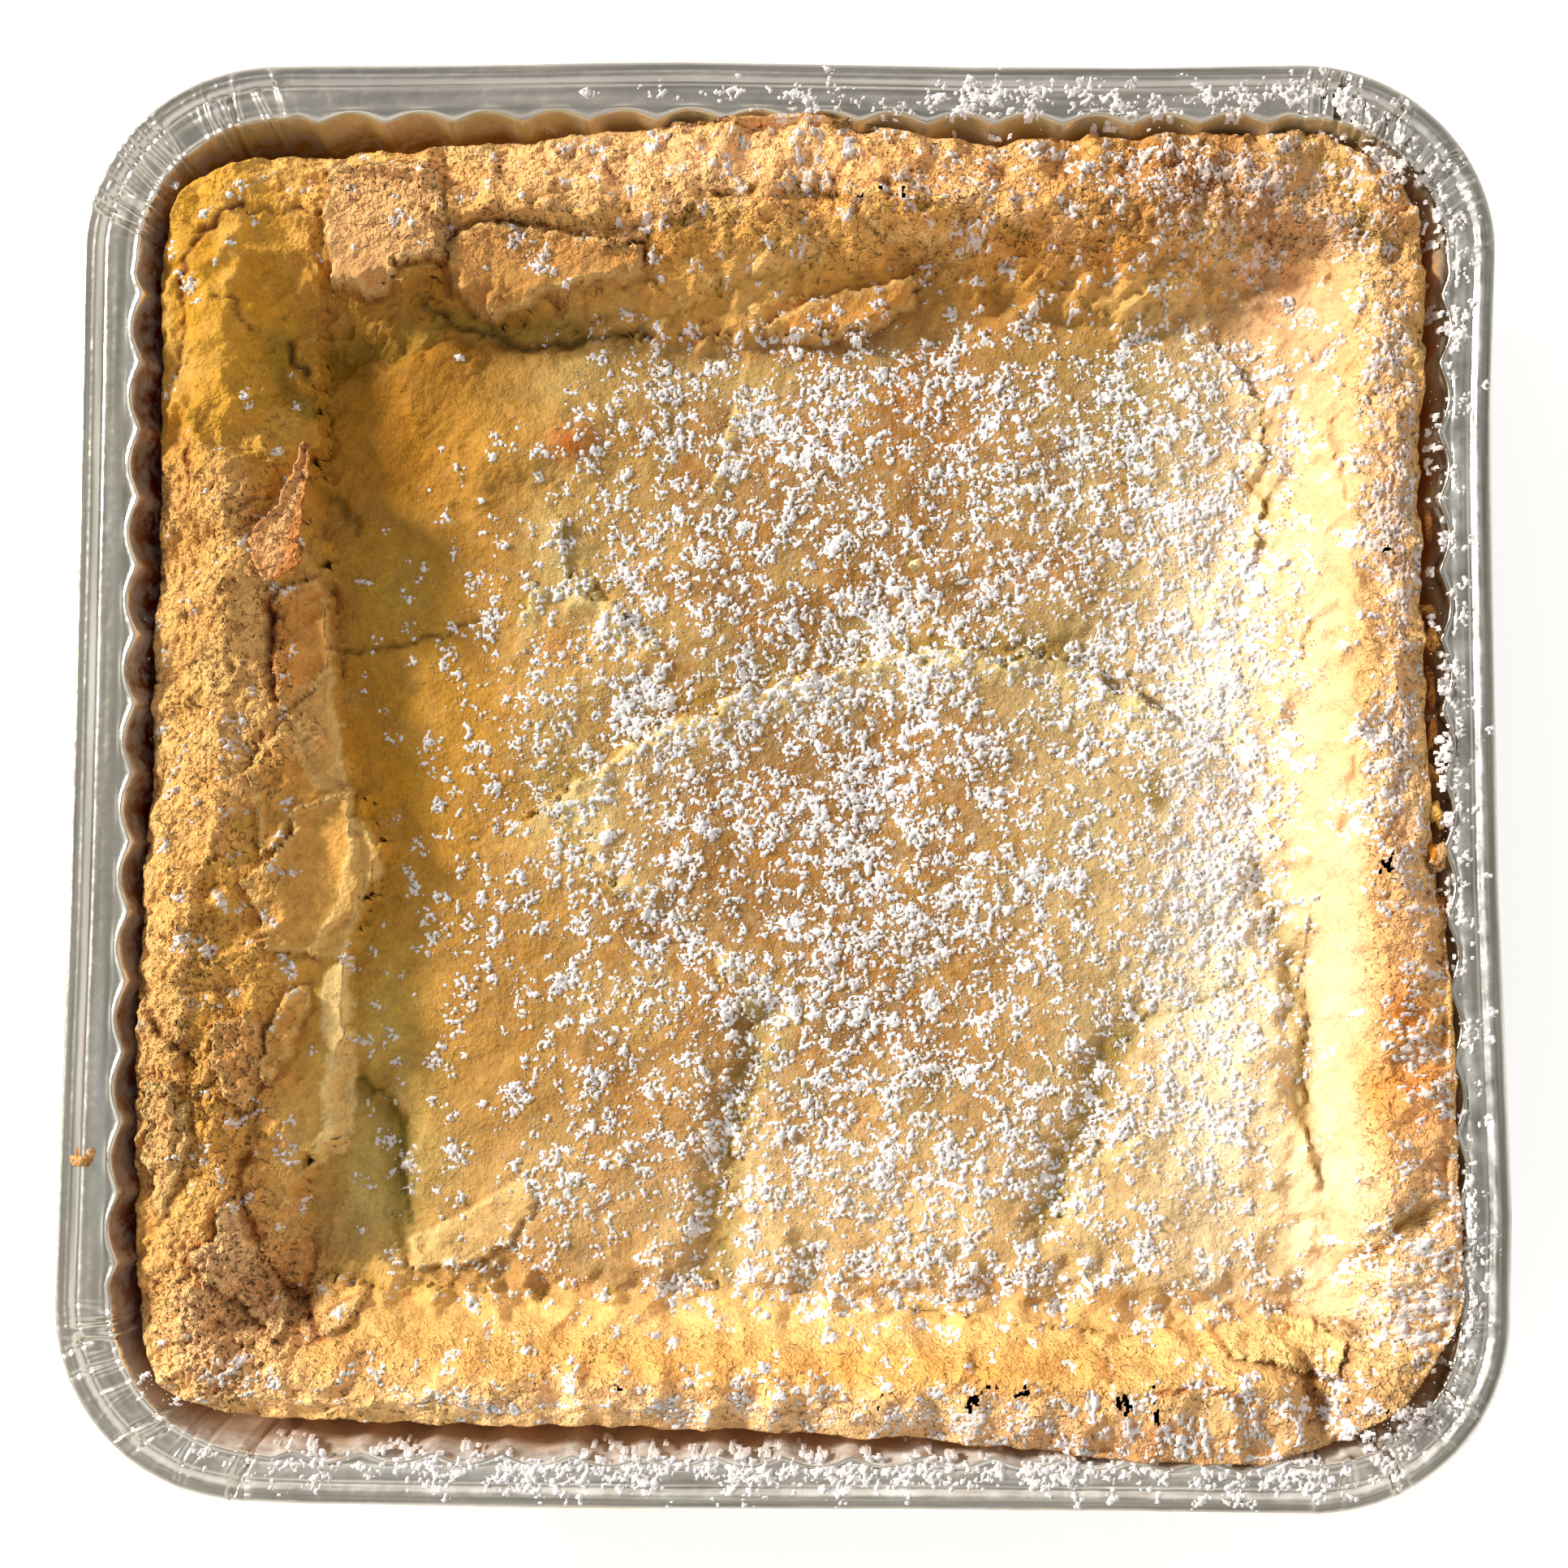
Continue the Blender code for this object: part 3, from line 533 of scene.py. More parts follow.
def edge_push(x, y):
    """How far the cake's outline moves at each place, along X and along Y."""
    pushes = {}
    for side, (across, along, wall) in walls_at(x, y, EDGE_LEVEL).items():
        offset = np.interp(along, *zip(*EDGE_LINE[side])) - wall
        own_noise = fractal(along, EDGE_NOISE_APART * side + EDGE_NOISE_DRIFT * across, EDGE_NOISE_CELL, 25)
        offset = offset + EDGE_RAGGED * own_noise
        outward = np.sign(wall) * offset > 0.0
        kept = 1.0 - smooth((np.abs(along) - CORNER_START) / CORNER_RUN)
        offset = np.where(outward, offset * kept, offset)
        pushes[side] = offset * (1.0 - smooth(np.abs(across - wall) / EDGE_PULL))
    return pushes[LEFT] + pushes[RIGHT], pushes[TOP] + pushes[BOTTOM]


def settle(x, y, z):
    """Moves places of the plain outline to the real edge, and lifts crust that lies over the foil."""
    push_x, push_y = edge_push(x, y)
    x = x + push_x
    y = y + push_y
    inset = np.minimum(PAN_HALF[0] - np.abs(x), PAN_HALF[1] - np.abs(y))
    over_foil = np.where(inset < SHOULDER_WIDTH, rim_height(inset) + CRUST_OVER_FOIL, 0.0)
    return x, y, np.minimum(np.maximum(z, over_foil), cad_bounds[1][2] / MM - ROOM_ABOVE)


def torn_crust(x, y):
    """1 on the torn crust along the left side, left of its torn edge."""
    run = smooth((y + 66.0) / 8.0) * smooth((50.0 - y) / 8.0)
    return run * torn_share(x, y, 0.5, -0.25)


def inside_outline(x, y, corners):
    """How far a place lies inside a closed outline, and below zero outside it."""
    distance, _ = line_distance(x, y, corners + corners[:1])
    inside = np.zeros(np.shape(x), bool)
    for (ax, ay), (bx, by) in zip(corners, corners[1:] + corners[:1]):
        if ay != by:
            inside ^= ((ay > y) != (by > y)) & (x < (bx - ax) * (y - ay) / (by - ay) + ax)
    return np.where(inside, distance, -distance)


def crust_roughness(x, y):
    """How craggy the crust is at a place, from 0 for smooth skin to 1 for torn crust."""
    near = {side: found[0] for side, found in side_distances(x, y).items()}
    bands = {
        LEFT: smooth((near[LEFT] - 5.0) / 3.0) * (1.0 - smooth((near[LEFT] - 17.0) / 5.0)),
        RIGHT: 1.0 - smooth((near[RIGHT] - 9.0) / 5.0),
        TOP: smooth((near[TOP] + 1.0) / 3.0) * (1.0 - smooth((near[TOP] - 15.0) / 7.0)),
        BOTTOM: 1.0 - smooth((near[BOTTOM] - 13.0) / 5.0),
    }
    strength = {LEFT: 0.6, RIGHT: 0.55, TOP: 0.8, BOTTOM: 0.5}
    rough = np.maximum.reduce([strength[side] * bands[side] for side in bands])
    rough = np.maximum(rough, 1.2 * spot(x, y, -78.0, -79.0, 13.0, 14.0))
    rough = np.maximum(rough, 1.0 * spot(x, y, 80.0, -86.0, 16.0, 8.0))
    smooth_corner = spot(x, y, -80.0, 74.0, 20.0, 24.0)
    slab = spot(x, y, -58.0, 82.0, 9.0, 8.0)
    rough = rough * (1.0 - 0.92 * np.clip(smooth_corner - 0.55 * slab, 0.0, 1.0))
    ribbon = spot(x, y, -65.5, -14.0, 3.2, 42.0)
    return np.maximum(rough, 0.8 * torn_crust(x, y)) * (1.0 - 0.9 * ribbon)


def sheet_depths(x, y):
    """How deep each place lies inside each torn sheet, far below zero where it is far away."""
    jag_x = x + SHEET_JAG * fractal(x, y, 3.4, 101, layers=4, gain=0.7)
    jag_y = y + SHEET_JAG * fractal(x, y, 3.4, 107, layers=4, gain=0.7)
    depths = []
    for corners, *_ in SHEETS:
        low = np.min(corners, axis=0) - 4.0
        high = np.max(corners, axis=0) + 4.0
        near = (jag_x > low[0]) & (jag_x < high[0]) & (jag_y > low[1]) & (jag_y < high[1])
        depth = np.full(np.shape(x), -9.0)
        depth[near] = inside_outline(jag_x[near], jag_y[near], corners)
        depths.append(depth)
    return depths


def plate_relief(x, y, warped, rough, craggy):
    """Relief of crags, crumbs and plates of crust, and 1 along the seams between the plates."""
    first, second, number = nearest_dots(*warped, PLATE_SIZE, 61)
    seams = np.exp(-(((second - first) / SEAM_WIDTH) ** 2)) * smooth(0.3 + 1.6 * fractal(x, y, 11.0, 63))
    crags = 1.0 - 2.0 * np.abs(fractal(1.25 * x, 0.8 * y, 2.4, 51, layers=3, gain=0.75))
    grain = fractal(x, y, 1.1, 71, layers=2, gain=0.8)
    relief = rough * (0.26 * crags + 0.4 * (number - 0.5) + 0.26 * grain)
    relief += craggy * (0.55 * crags + 0.5 * (number - 0.5))
    relief += (1.0 - rough) * 0.07 * fractal(x, y, 1.8, 81, layers=2)
    return relief - seams * (0.1 + 0.45 * rough), seams


def crust_pits(x, y, rough):
    """1 in the crust's small pits."""
    distance, _, number = nearest_dots(x, y, PIT_CELL, 91)
    radius = PIT_RADIUS[0] + PIT_RADIUS[1] * number**4
    pits = np.where(number > 1.0 - PIT_SHARE, np.exp(-((distance / radius) ** 2)), 0.0)
    return pits * np.clip(rough * 1.3 + 0.05, 0.0, 1.0)


def break_relief(x, y, warped):
    """Relief of the flaps and the fault, their raised lips, and a mask of painted shade below them and in the
    cracks.
    """
    relief = np.zeros(np.shape(x))
    gaps = np.zeros(np.shape(x))
    lips = []
    broken = smooth(0.55 + 1.1 * fractal(x, y, 4.5, 93, layers=2))
    for line, step, _ in FLAPS:
        distance, side = line_distance(*warped, line)
        upper = (side * math.copysign(1.0, step)) > 0.0
        relief += broken * np.where(upper, abs(step), -0.5 * abs(step)) * np.exp(-distance / FLAP_FADE)
        lips.append(np.where(upper, np.exp(-distance / FLAP_LIP), 0.0) * (0.4 + 0.6 * broken))
        gaps = np.maximum(gaps, np.where(upper, 0.0, np.exp(-((distance / FLAP_GAP) ** 2))) * broken)
    distance, side = line_distance(*warped, FAULT)
    relief += FAULT_LIP_RISE * broken * np.where(side < 0.0, np.exp(-distance / 1.6), 0.0)
    lips.append(np.where(side < 0.0, np.exp(-distance / FAULT_LIP), 0.0) * (0.6 + 0.4 * broken))
    below = np.where(side > 0.0, np.exp(-((distance / FAULT_GAP) ** 2)), 0.0)
    gaps = np.maximum(gaps, below * (0.4 + 0.6 * broken))
    for line, _, width in CRACKS:
        distance, _ = line_distance(*warped, line)
        gaps = np.maximum(gaps, np.exp(-((distance / (0.6 * width)) ** 2)))
    return relief, lips, gaps


def sheet_relief(sheets):
    """Relief of the torn sheets: raised most at their edges, and a little sunk round them."""
    relief = 0.0
    for depth, (_, rise, fade, _, _) in zip(sheets, SHEETS):
        share = smooth(depth / SHEET_EDGE + 0.5)
        relief = relief + rise * share * (0.25 + 0.75 * np.exp(-np.maximum(depth, 0.0) / fade))
        relief -= 0.3 * rise * (1.0 - share) * np.exp(-((depth / 0.9) ** 2))
    return relief


def crease_masks(x, y):
    """1 along each crease, which wanders off its line a little."""
    wander_x = x + CREASE_WANDER * fractal(x, y, 2.6, 95, layers=4)
    wander_y = y + CREASE_WANDER * fractal(x, y, 2.6, 97, layers=4)
    masks = []
    for line, width, _, _ in CREASES:
        distance, _ = line_distance(wander_x, wander_y, line)
        masks.append(np.exp(-((distance / width) ** 2)))
    return masks


def fine_parts(x, y):
    """The fine surface: height, and masks of what shows in its colour."""
    calm = np.maximum.reduce([share * spot(x, y, *oval) for *oval, share in CALM_SPOTS])
    jag = (1.5 - 0.6 * crust_roughness(x, y)) * (1.0 - calm)
    warped = [part + jag * fractal(x, y, 4.4, seed, layers=4, gain=0.68) for part, seed in ((x, 31), (y, 41))]
    rough = crust_roughness(*warped)
    craggy = spot(x, y, -79.0, -79.5, 10.0, 10.0) + 0.6 * spot(x, y, -84.0, -45.0, 7.0, 18.0)
    relief, seams = plate_relief(x, y, warped, rough, craggy)
    pits = crust_pits(x, y, rough)
    breaks, lips, gaps = break_relief(x, y, warped)
    sheets = sheet_depths(x, y)
    creases = crease_masks(x, y)
    relief += breaks - PIT_DEPTH * pits + sheet_relief(sheets)
    for crease, (_, width, _, _) in zip(creases, CREASES):
        relief -= CREASE_DEPTH * math.sqrt(width) * crease
    masks = {"rough": np.clip(rough + craggy, 0.0, 1.2), "relief": relief, "pits": pits, "lips": lips}
    masks.update(gaps=gaps, seams=seams, sheets=sheets, creases=creases, warped=warped)
    return coarse_height(*warped) + relief, masks


def srgb(text):
    """A web colour as linear red, green and blue."""
    parts = np.array([int(text[i : i + 2], 16) for i in (1, 3, 5)]) / 255.0
    return np.where(parts <= 0.04045, parts / 12.92, ((parts + 0.055) / 1.055) ** 2.4)


GOLD = srgb("#e4aa58")
PALE = srgb("#f0d690")
AMBER = srgb("#c8842f")
PINK_TAN = srgb("#dcaa7c")
ORANGE = srgb("#dc8a30")
DEEP_ORANGE = srgb("#b05a14")
BROWN = srgb("#80481e")
OLIVE = srgb("#927624")
# SUNK, SUNK_LEFT and SUNK_DEEP are partly painted shade: the sunken middle is painted darker, most at its
# left and top-left, where the border's shadow falls.
SUNK = srgb("#946c38")
SUNK_LEFT = srgb("#c08820")
SUNK_DEEP = srgb("#a06806")
SUNK_RIGHT = srgb("#c8a266")
DUSTY = srgb("#dcc6a4")
TANNED = srgb("#c4a25e")

# Soft spots of colour: place, reach, turn in degrees, colour and strength, in plain numbers
COLOR_SPOTS = [
    # Partly painted shade: the left of the sunken middle is painted darker and more olive.
    (-56, -10, 22, 60, 0, SUNK_LEFT, 0.9),
    (-60, -42, 9, 22, 0, "#c8aa54", 0.7),
    (-45, -32, 8, 26, 0, "#ac7e40", 0.6),
    (-58, 32, 9, 14, 0, "#b69238", 0.7),
    # Partly painted shade: the top-left of the sunken middle is painted darkest.
    (-52, 56, 26, 20, 10, SUNK_DEEP, 0.95),
    (-66, 66, 10, 9, 0, "#7c5810", 0.5),
    (-42, 50, 13, 8, -20, "#b8842c", 0.8),
    (-30, 60, 14, 6, 0, "#b8a060", 0.5),
    (56, -20, 18, 60, 0, SUNK_RIGHT, 0.9),
    (14, -62, 60, 12, 0, "#dcb67c", 0.85),
    (12, 2, 26, 12, 0, "#98662a", 0.6),
    (2, -20, 20, 10, 0, "#a06c2c", 0.5),
    (30, -30, 14, 10, 30, "#b47c3c", 0.5),
    (-20, -50, 16, 12, 0, "#b8823e", 0.5),
    (24, 40, 26, 12, 0, "#9a6e34", 0.5),
    (-31, 24, 9, 46, 0, "#c4a05c", 0.7),
    (44, -6, 12, 56, 0, "#bea06a", 0.8),
    (62.5, -2, 8.5, 56, 0, "#f2dab0", 0.9),
    (62.5, -38, 8, 32, 0, "#f4deb4", 0.85),
    (52, 60, 16, 12, 0, "#a88a48", 0.6),
    (36, 70, 12, 7, 0, "#a8782e", 0.7),
    (-84, 76, 15, 24, 0, "#cc9420", 0.95),
    (-87, 36, 7, 30, 0, "#cc9230", 0.85),
    (-80, 52, 9, 10, 0, "#b8861a", 0.8),
    (-84, -20, 8, 46, 0, "#dea448", 0.85),
    (-76, -52, 7, 20, 0, "#cc8a3a", 0.5),
    (-42, 76, 34, 4.6, 0, "#b27a2e", 0.7),
    # Partly painted shade: a darker band under the edge of the top border's torn sheets.
    (-52, 70, 12, 4, 0, "#a07020", 0.8),
    (-32, 88, 28, 6, 0, "#ecb070", 0.85),
    (-10, 79, 20, 5, 10, "#c88e3c", 0.7),
    (-5, 90, 34, 6, 0, "#f8bc80", 0.85),
    (24, 86, 18, 6, 0, "#e69c54", 0.75),
    (4, 71, 34, 5, 4, "#d09844", 0.7),
    (60, 87, 21, 7, -4, "#945420", 0.85),
    (74, 80, 12, 5, -20, "#8a4c1c", 0.7),
    (45, 77, 20, 4, -4, "#c47c2c", 0.7),
    (58, 72, 12, 3.6, 6, "#d8a04c", 0.6),
    (85, 84, 7, 8, -40, "#c8812e", 0.7),
    (-32, 50.3, 4.2, 2.6, 10, DEEP_ORANGE, 0.85),
    (-33.3, 20.3, 4, 3.4, 0, ORANGE, 0.6),
    (19.4, 55, 7, 5, 20, "#b46c1c", 0.55),
    (38.6, 31.5, 6, 3, 0, DEEP_ORANGE, 0.45),
    (54, -1, 3, 4.6, 0, "#8a6c18", 0.85),
    (63.5, -3.3, 5, 1.8, 24, DEEP_ORANGE, 0.5),
    (50, 51, 3, 6, 10, OLIVE, 0.7),
    (77, 20, 8, 60, 0, "#f2cc9c", 0.95),
    (79, -52, 7, 40, 0, "#f4d8ae", 0.95),
    (74, 66, 8, 12, 0, "#dba87a", 0.85),
    (88, 40, 5, 42, 0, "#dea874", 0.85),
    (83, 16, 3, 14, 0, "#f0b26a", 0.6),
    (88.5, -10, 4, 22, 0, "#e4ae7c", 0.8),
    (84.5, -14, 2, 10, 0, ORANGE, 0.45),
    (88.5, -40, 4.6, 15, 6, "#d47a1c", 0.9),
    (84, -47, 2.6, 9, 10, "#ee9a3c", 0.7),
    (91, -62, 4, 16, 0, "#e0a878", 0.7),
    (-45, -84, 34, 7, 0, "#f0a854", 0.7),
    (-60, -82, 8, 7, 0, "#d89a58", 0.6),
    (0, -91, 76, 6, 0, "#f8ca94", 0.8),
    (20, -84, 44, 4.6, 0, "#f0a448", 0.7),
    (5, -78.5, 62, 3.4, 0, "#fcc880", 0.85),
    (62, -82, 14, 4.5, 4, "#f4c07a", 0.7),
    (50, -93, 26, 4.6, 0, "#b87840", 0.7),
    (80, -88, 10, 7, 0, "#b88850", 0.75),
    (84, -70, 7, 8, 0, "#f0c090", 0.7),
    (-80, -80, 11, 13, 0, "#ecb880", 0.95),
    (-70.7, -72, 3.4, 6, -20, "#c4844a", 0.7),
    # Partly painted shade: a dark red hole in a deep crack.
    (-74, 22.5, 1, 3, 6, "#701808", 0.95),
    (-58, -60, 9, 12, 0, "#c4b068", 0.6),
]


def sunken_share(x, y):
    """1 in the sunken middle, falling to 0 on the border."""
    inner = np.minimum.reduce([distance - limit for distance, limit in side_distances(x, y).values()])
    return smooth(inner / 7.0 + 0.4)


def mix(color, other, share):
    """Blends an array of colours towards one colour, given as web text or as an array."""
    other = srgb(other) if isinstance(other, str) else other
    return color + (other - color) * np.clip(share, 0.0, 1.0)[:, None]


def cake_color(x, y, masks):
    """Colour of the cake at each place, before the shader's own fine variation."""
    base = np.tile(GOLD, (len(x), 1))
    base = mix(base, PALE, 0.3 + 0.5 * fractal(x, y, 26.0, 111, layers=2))
    sunken = sunken_share(*masks["warped"])
    # Partly painted shade: the sunken middle is painted darker, for the shade of the border and of the
    # sugar's clumps.
    base = mix(base, SUNK, sunken)
    base = mix(base, AMBER, 0.45 * smooth(0.4 + 0.9 * fractal(x, y, 8.0, 121)))
    base = mix(base, "#7e4c1e", 0.4 * sunken * smooth(1.3 * fractal(x, y, 5.0, 129, layers=4)))
    base = mix(base, TANNED, 0.5 * sunken * smooth(0.1 + 1.1 * fractal(x, y, 13.0, 127, layers=4)))
    ragged = 1.0 + 0.45 * fractal(x, y, 6.0, 131)
    for *oval, color, strength in COLOR_SPOTS:
        base = mix(base, color, strength * spot(x, y, *oval) * ragged)
    base = mix(base, PINK_TAN, 0.3 * torn_crust(*masks["warped"]))
    for lips, color in zip(masks["lips"], [flap[2] for flap in FLAPS] + ["#f0dc9c"]):
        base = mix(base, color, 0.8 * lips)
    # Painted shade: olive below the flaps and the fault, and in the cracks.
    base = mix(base, OLIVE, 0.7 * masks["gaps"])
    # Partly painted light and shade: pink-tan on the raised crust, deep orange in its hollows.
    raised = masks["relief"]
    base = mix(base, PINK_TAN, 0.4 * masks["rough"] * smooth((raised - 0.1) / 0.9))
    base = mix(base, DEEP_ORANGE, 0.45 * masks["rough"] * smooth((-raised - 0.2) / 0.9))
    for depth, (_, rise, _, color, strength) in zip(masks["sheets"], SHEETS):
        base = mix(base, color, strength * smooth(depth / SHEET_EDGE + 0.5))
        base = mix(base, PALE, 0.35 * np.exp(-(((depth - 0.4) / 0.4) ** 2)))
        # Painted shadow: a brown line just outside each sheet's edge, darker the higher the edge stands.
        base = mix(base, BROWN, 0.35 * rise * np.exp(-(((depth + 0.5) / 0.45) ** 2)))
    # Painted shade: brown in the crust's pits.
    base = mix(base, BROWN, 0.4 * masks["pits"])
    base = mix(base, BROWN, 0.5 * masks["seams"] * np.clip(0.15 + masks["rough"], 0.0, 1.0))
    # Partly painted shade: the dark colours along the creases and cracks.
    for crease, (_, _, color, strength) in zip(masks["creases"], CREASES):
        base = mix(base, color, strength * crease)
    dusted = 0.55 * sugar_cover(x, y) * smooth(0.25 + 1.0 * fractal(x, y, 1.6, 141, layers=3, gain=0.8))
    base = mix(base, DUSTY, dusted)
    edge = 1.0 - smooth((wall_distance(x, y) - 0.2) / 1.4)
    return mix(base, BROWN, 0.2 * edge)


class Look:
    """A procedural material with its Principled shader, and short ways to add nodes to it."""

    def __init__(self, name, **settings):
        self.material = bpy.data.materials.new(name)
        self.material.use_nodes = True
        self.nodes = self.material.node_tree.nodes
        self.links = self.material.node_tree.links
        self.shader = self.nodes["Principled BSDF"]
        self.fill(self.shader, settings)

    def fill(self, node, inputs):
        """Sets a node's inputs, each to a plain value or to another node's output."""
        for socket, value in inputs.items():
            if isinstance(socket, str):
                socket = socket.replace("_", " ")
            if isinstance(value, bpy.types.NodeSocket):
                self.links.new(value, node.inputs[socket])
            else:
                node.inputs[socket].default_value = value

    def node(self, kind, output, inputs, **settings):
        """Adds a node and returns one of its outputs."""
        made = self.nodes.new("ShaderNode" + kind)
        for setting, value in settings.items():
            setattr(made, setting, value)
        self.fill(made, inputs)
        return made.outputs[output]

    def paint(self, name, output="Color"):
        """A colour or share painted on the mesh's points."""
        return self.node("Attribute", output, {}, attribute_name=name)

    def place(self):
        """The object's own coordinates."""
        return self.node("TexCoord", "Object", {})

    def noise(self, scale, detail, roughness=0.5, output="Fac"):
        """Noise on the object's own coordinates; scale is in bumps a metre."""
        inputs = {"Vector": self.place(), "Scale": scale, "Detail": detail, "Roughness": roughness}
        return self.node("TexNoise", output, inputs)

    def ramp(self, source, low, high, start=0.0, end=1.0):
        """Runs a value from low to high as the source goes from start to end."""
        inputs = {"Value": source, "From Min": start, "From Max": end, "To Min": low, "To Max": high}
        return self.node("MapRange", "Result", inputs)

    def shaded(self, color, value):
        """A colour made lighter or darker by a value."""
        return self.node("VectorMath", "Vector", {0: color, "Scale": value}, operation="SCALE")

    def product(self, first, second, use_clamp=False):
        """Two values multiplied."""
        return self.node("Math", "Value", {0: first, 1: second}, operation="MULTIPLY", use_clamp=use_clamp)

    def wandering_place(self, scale, reach):
        """The object's own coordinates, moved a little by noise."""
        centre = {0: self.noise(scale, 1.0, output="Color"), 1: (0.5, 0.5, 0.5)}
        centred = self.node("VectorMath", "Vector", centre, operation="SUBTRACT")
        moved = {0: self.place(), 1: self.shaded(centred, reach)}
        return self.node("VectorMath", "Vector", moved, operation="ADD")

    def pocks(self, where, scale, limits, shares, feature="F1", dimensions="2D"):
        """1 in small pits or hair cracks, kept only where all the shares are high."""
        settings = {"feature": feature, "voronoi_dimensions": dimensions}
        made = self.node("TexVoronoi", "Distance", {"Vector": where, "Scale": scale}, **settings)
        made = self.ramp(made, 1.0, 0.0, *limits)
        for share in shares:
            made = self.product(made, share)
        return made

    def bumps(self, heights):
        """Chains bumps into the shader: each is a height output and its depth in metres."""
        normal = {}
        for height, depth in heights:
            inputs = {"Strength": 1.0, "Distance": depth, "Height": height, **normal}
            normal = {"Normal": self.node("Bump", "Normal", inputs)}
        self.fill(self.shader, normal)


# Where most of a noise texture's values lie
NOISE_SPAN = (0.3, 0.7)

# Crumbs, pits and hair cracks of torn crust, in cells a metre
CRUMB_SCALE = 1150.0
PIT_SCALE = 900.0
HAIR_SCALE = 210.0


def cake_material():
    """Baked cake: painted colour, fine mottling, pits and hair cracks where the crust is torn, with painted
    shade in the pits and hair cracks and painted highlights on the crumbs.
    """
    look = Look("baked_cake", Roughness=0.68, Specular_IOR_Level=0.22)
    torn = look.paint("torn_share", "Fac")
    coarse = look.noise(420.0, 4.0, 0.72)
    fine = look.noise(1500.0, 2.0, 0.6)
    patches = look.noise(130.0, 2.0)
    where = look.wandering_place(900.0, 0.0022)
    pitted = look.ramp(patches, 0.0, 1.0, 0.42, 0.55)
    cracked = look.ramp(patches, 0.8, 0.0, 0.36, 0.46)
    pits = look.pocks(where, PIT_SCALE, (0.12, 0.26), (torn, pitted))
    hairs = look.pocks(where, HAIR_SCALE, (0.0, 0.03), (torn, cracked), feature="DISTANCE_TO_EDGE")
    crumbs = look.pocks(where, CRUMB_SCALE, (0.0, 0.8), (torn,), dimensions="3D")
    color = look.paint("cake_color")
    shades = [(coarse, 0.84, 1.2, *NOISE_SPAN), (fine, 0.88, 1.12, *NOISE_SPAN)]
    # Painted shade darkens the pits and hair cracks; painted highlights lighten the crumbs.
    shades += [(pits, 1.0, 0.5), (hairs, 1.0, 0.7), (crumbs, 1.0, 1.14), (torn, 1.0, 1.16)]
    for source, *limits in shades:
        color = look.shaded(color, look.ramp(source, *limits))
    look.fill(look.shader, {"Base Color": color})
    heights = [(coarse, 0.0004), (fine, 0.0003), (crumbs, 0.0005)]
    heights += [(look.ramp(pits, 1.0, 0.0), 0.0005), (look.ramp(hairs, 1.0, 0.0), 0.0004)]
    look.bumps(heights)
    return look.material


def add_to_scene(name, data):
    """A new object of the scene, from its mesh, light or camera."""
    made = bpy.data.objects.new(name, data)
    bpy.context.scene.collection.objects.link(made)
    return made


def new_object(name, points, faces, look, colors, soft=True):
    """A mesh object from points in millimetres, riding on the part, smooth-shaded where it is soft."""
    mesh = bpy.data.meshes.new(name)
    mesh.vertices.add(len(points))
    mesh.vertices.foreach_set("co", (np.asarray(points, dtype=float) * MM).ravel())
    sides = faces.shape[1]
    mesh.loops.add(faces.size)
    mesh.loops.foreach_set("vertex_index", faces.astype(np.int32).ravel())
    mesh.polygons.add(len(faces))
    mesh.polygons.foreach_set("loop_start", np.arange(len(faces), dtype=np.int32) * sides)
    mesh.update(calc_edges=True)
    mesh.validate()
    mesh.materials.append(look)
    if soft:
        mesh.shade_smooth()
    for attribute, values in colors.items():
        layer = mesh.color_attributes.new(attribute, "FLOAT_COLOR", "POINT")
        alpha = np.ones((len(values), 1))
        layer.data.foreach_set("color", np.hstack([values, alpha]).ravel())
    made = add_to_scene(name, mesh)
    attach(made, "root")
    return made


def grid_faces(rows, columns, wrap=False):
    """Faces of a grid of points, row by row; with wrap, each row closes on itself."""
    row = np.arange(rows - 1)[:, None]
    column = np.arange(columns if wrap else columns - 1)[None, :]
    after = (column + 1) % columns
    corners = [row * columns + column, row * columns + after]
    corners += [(row + 1) * columns + after, (row + 1) * columns + column]
    return np.stack(corners, axis=-1).reshape(-1, 4)


def cake_grid():
    """Points, masks and colours of the cake's top on a square grid, and the grid's own places."""
    count = GRID_CELLS + 1
    even = np.linspace(-1.0, 1.0, count)
    even = even * (1.0 + BORDER_REFINEMENT) - BORDER_REFINEMENT * even**3
    v, u = [part.ravel() for part in np.meshgrid(even, even, indexing="ij")]
    x, y = onto_outline(u, v, *cake_outline(EDGE_LEVEL))
    z, masks = fine_parts(x, y)
    torn = np.repeat(masks["rough"][:, None], 3, axis=1)
    paint = {"cake_color": cake_color(x, y, masks), "torn_share": torn}
    x, y, z = settle(x, y, z)
    return u, v, np.stack([x, y, z], axis=1), paint


def grid_normals(points, count):
    """Normal of each point of a square grid."""
    grid = points.reshape(count, count, 3)
    along = np.gradient(grid, axis=1)
    across = np.gradient(grid, axis=0)
    normals = np.cross(along, across)
    return (normals / np.linalg.norm(normals, axis=2)[:, :, None]).reshape(-1, 3)


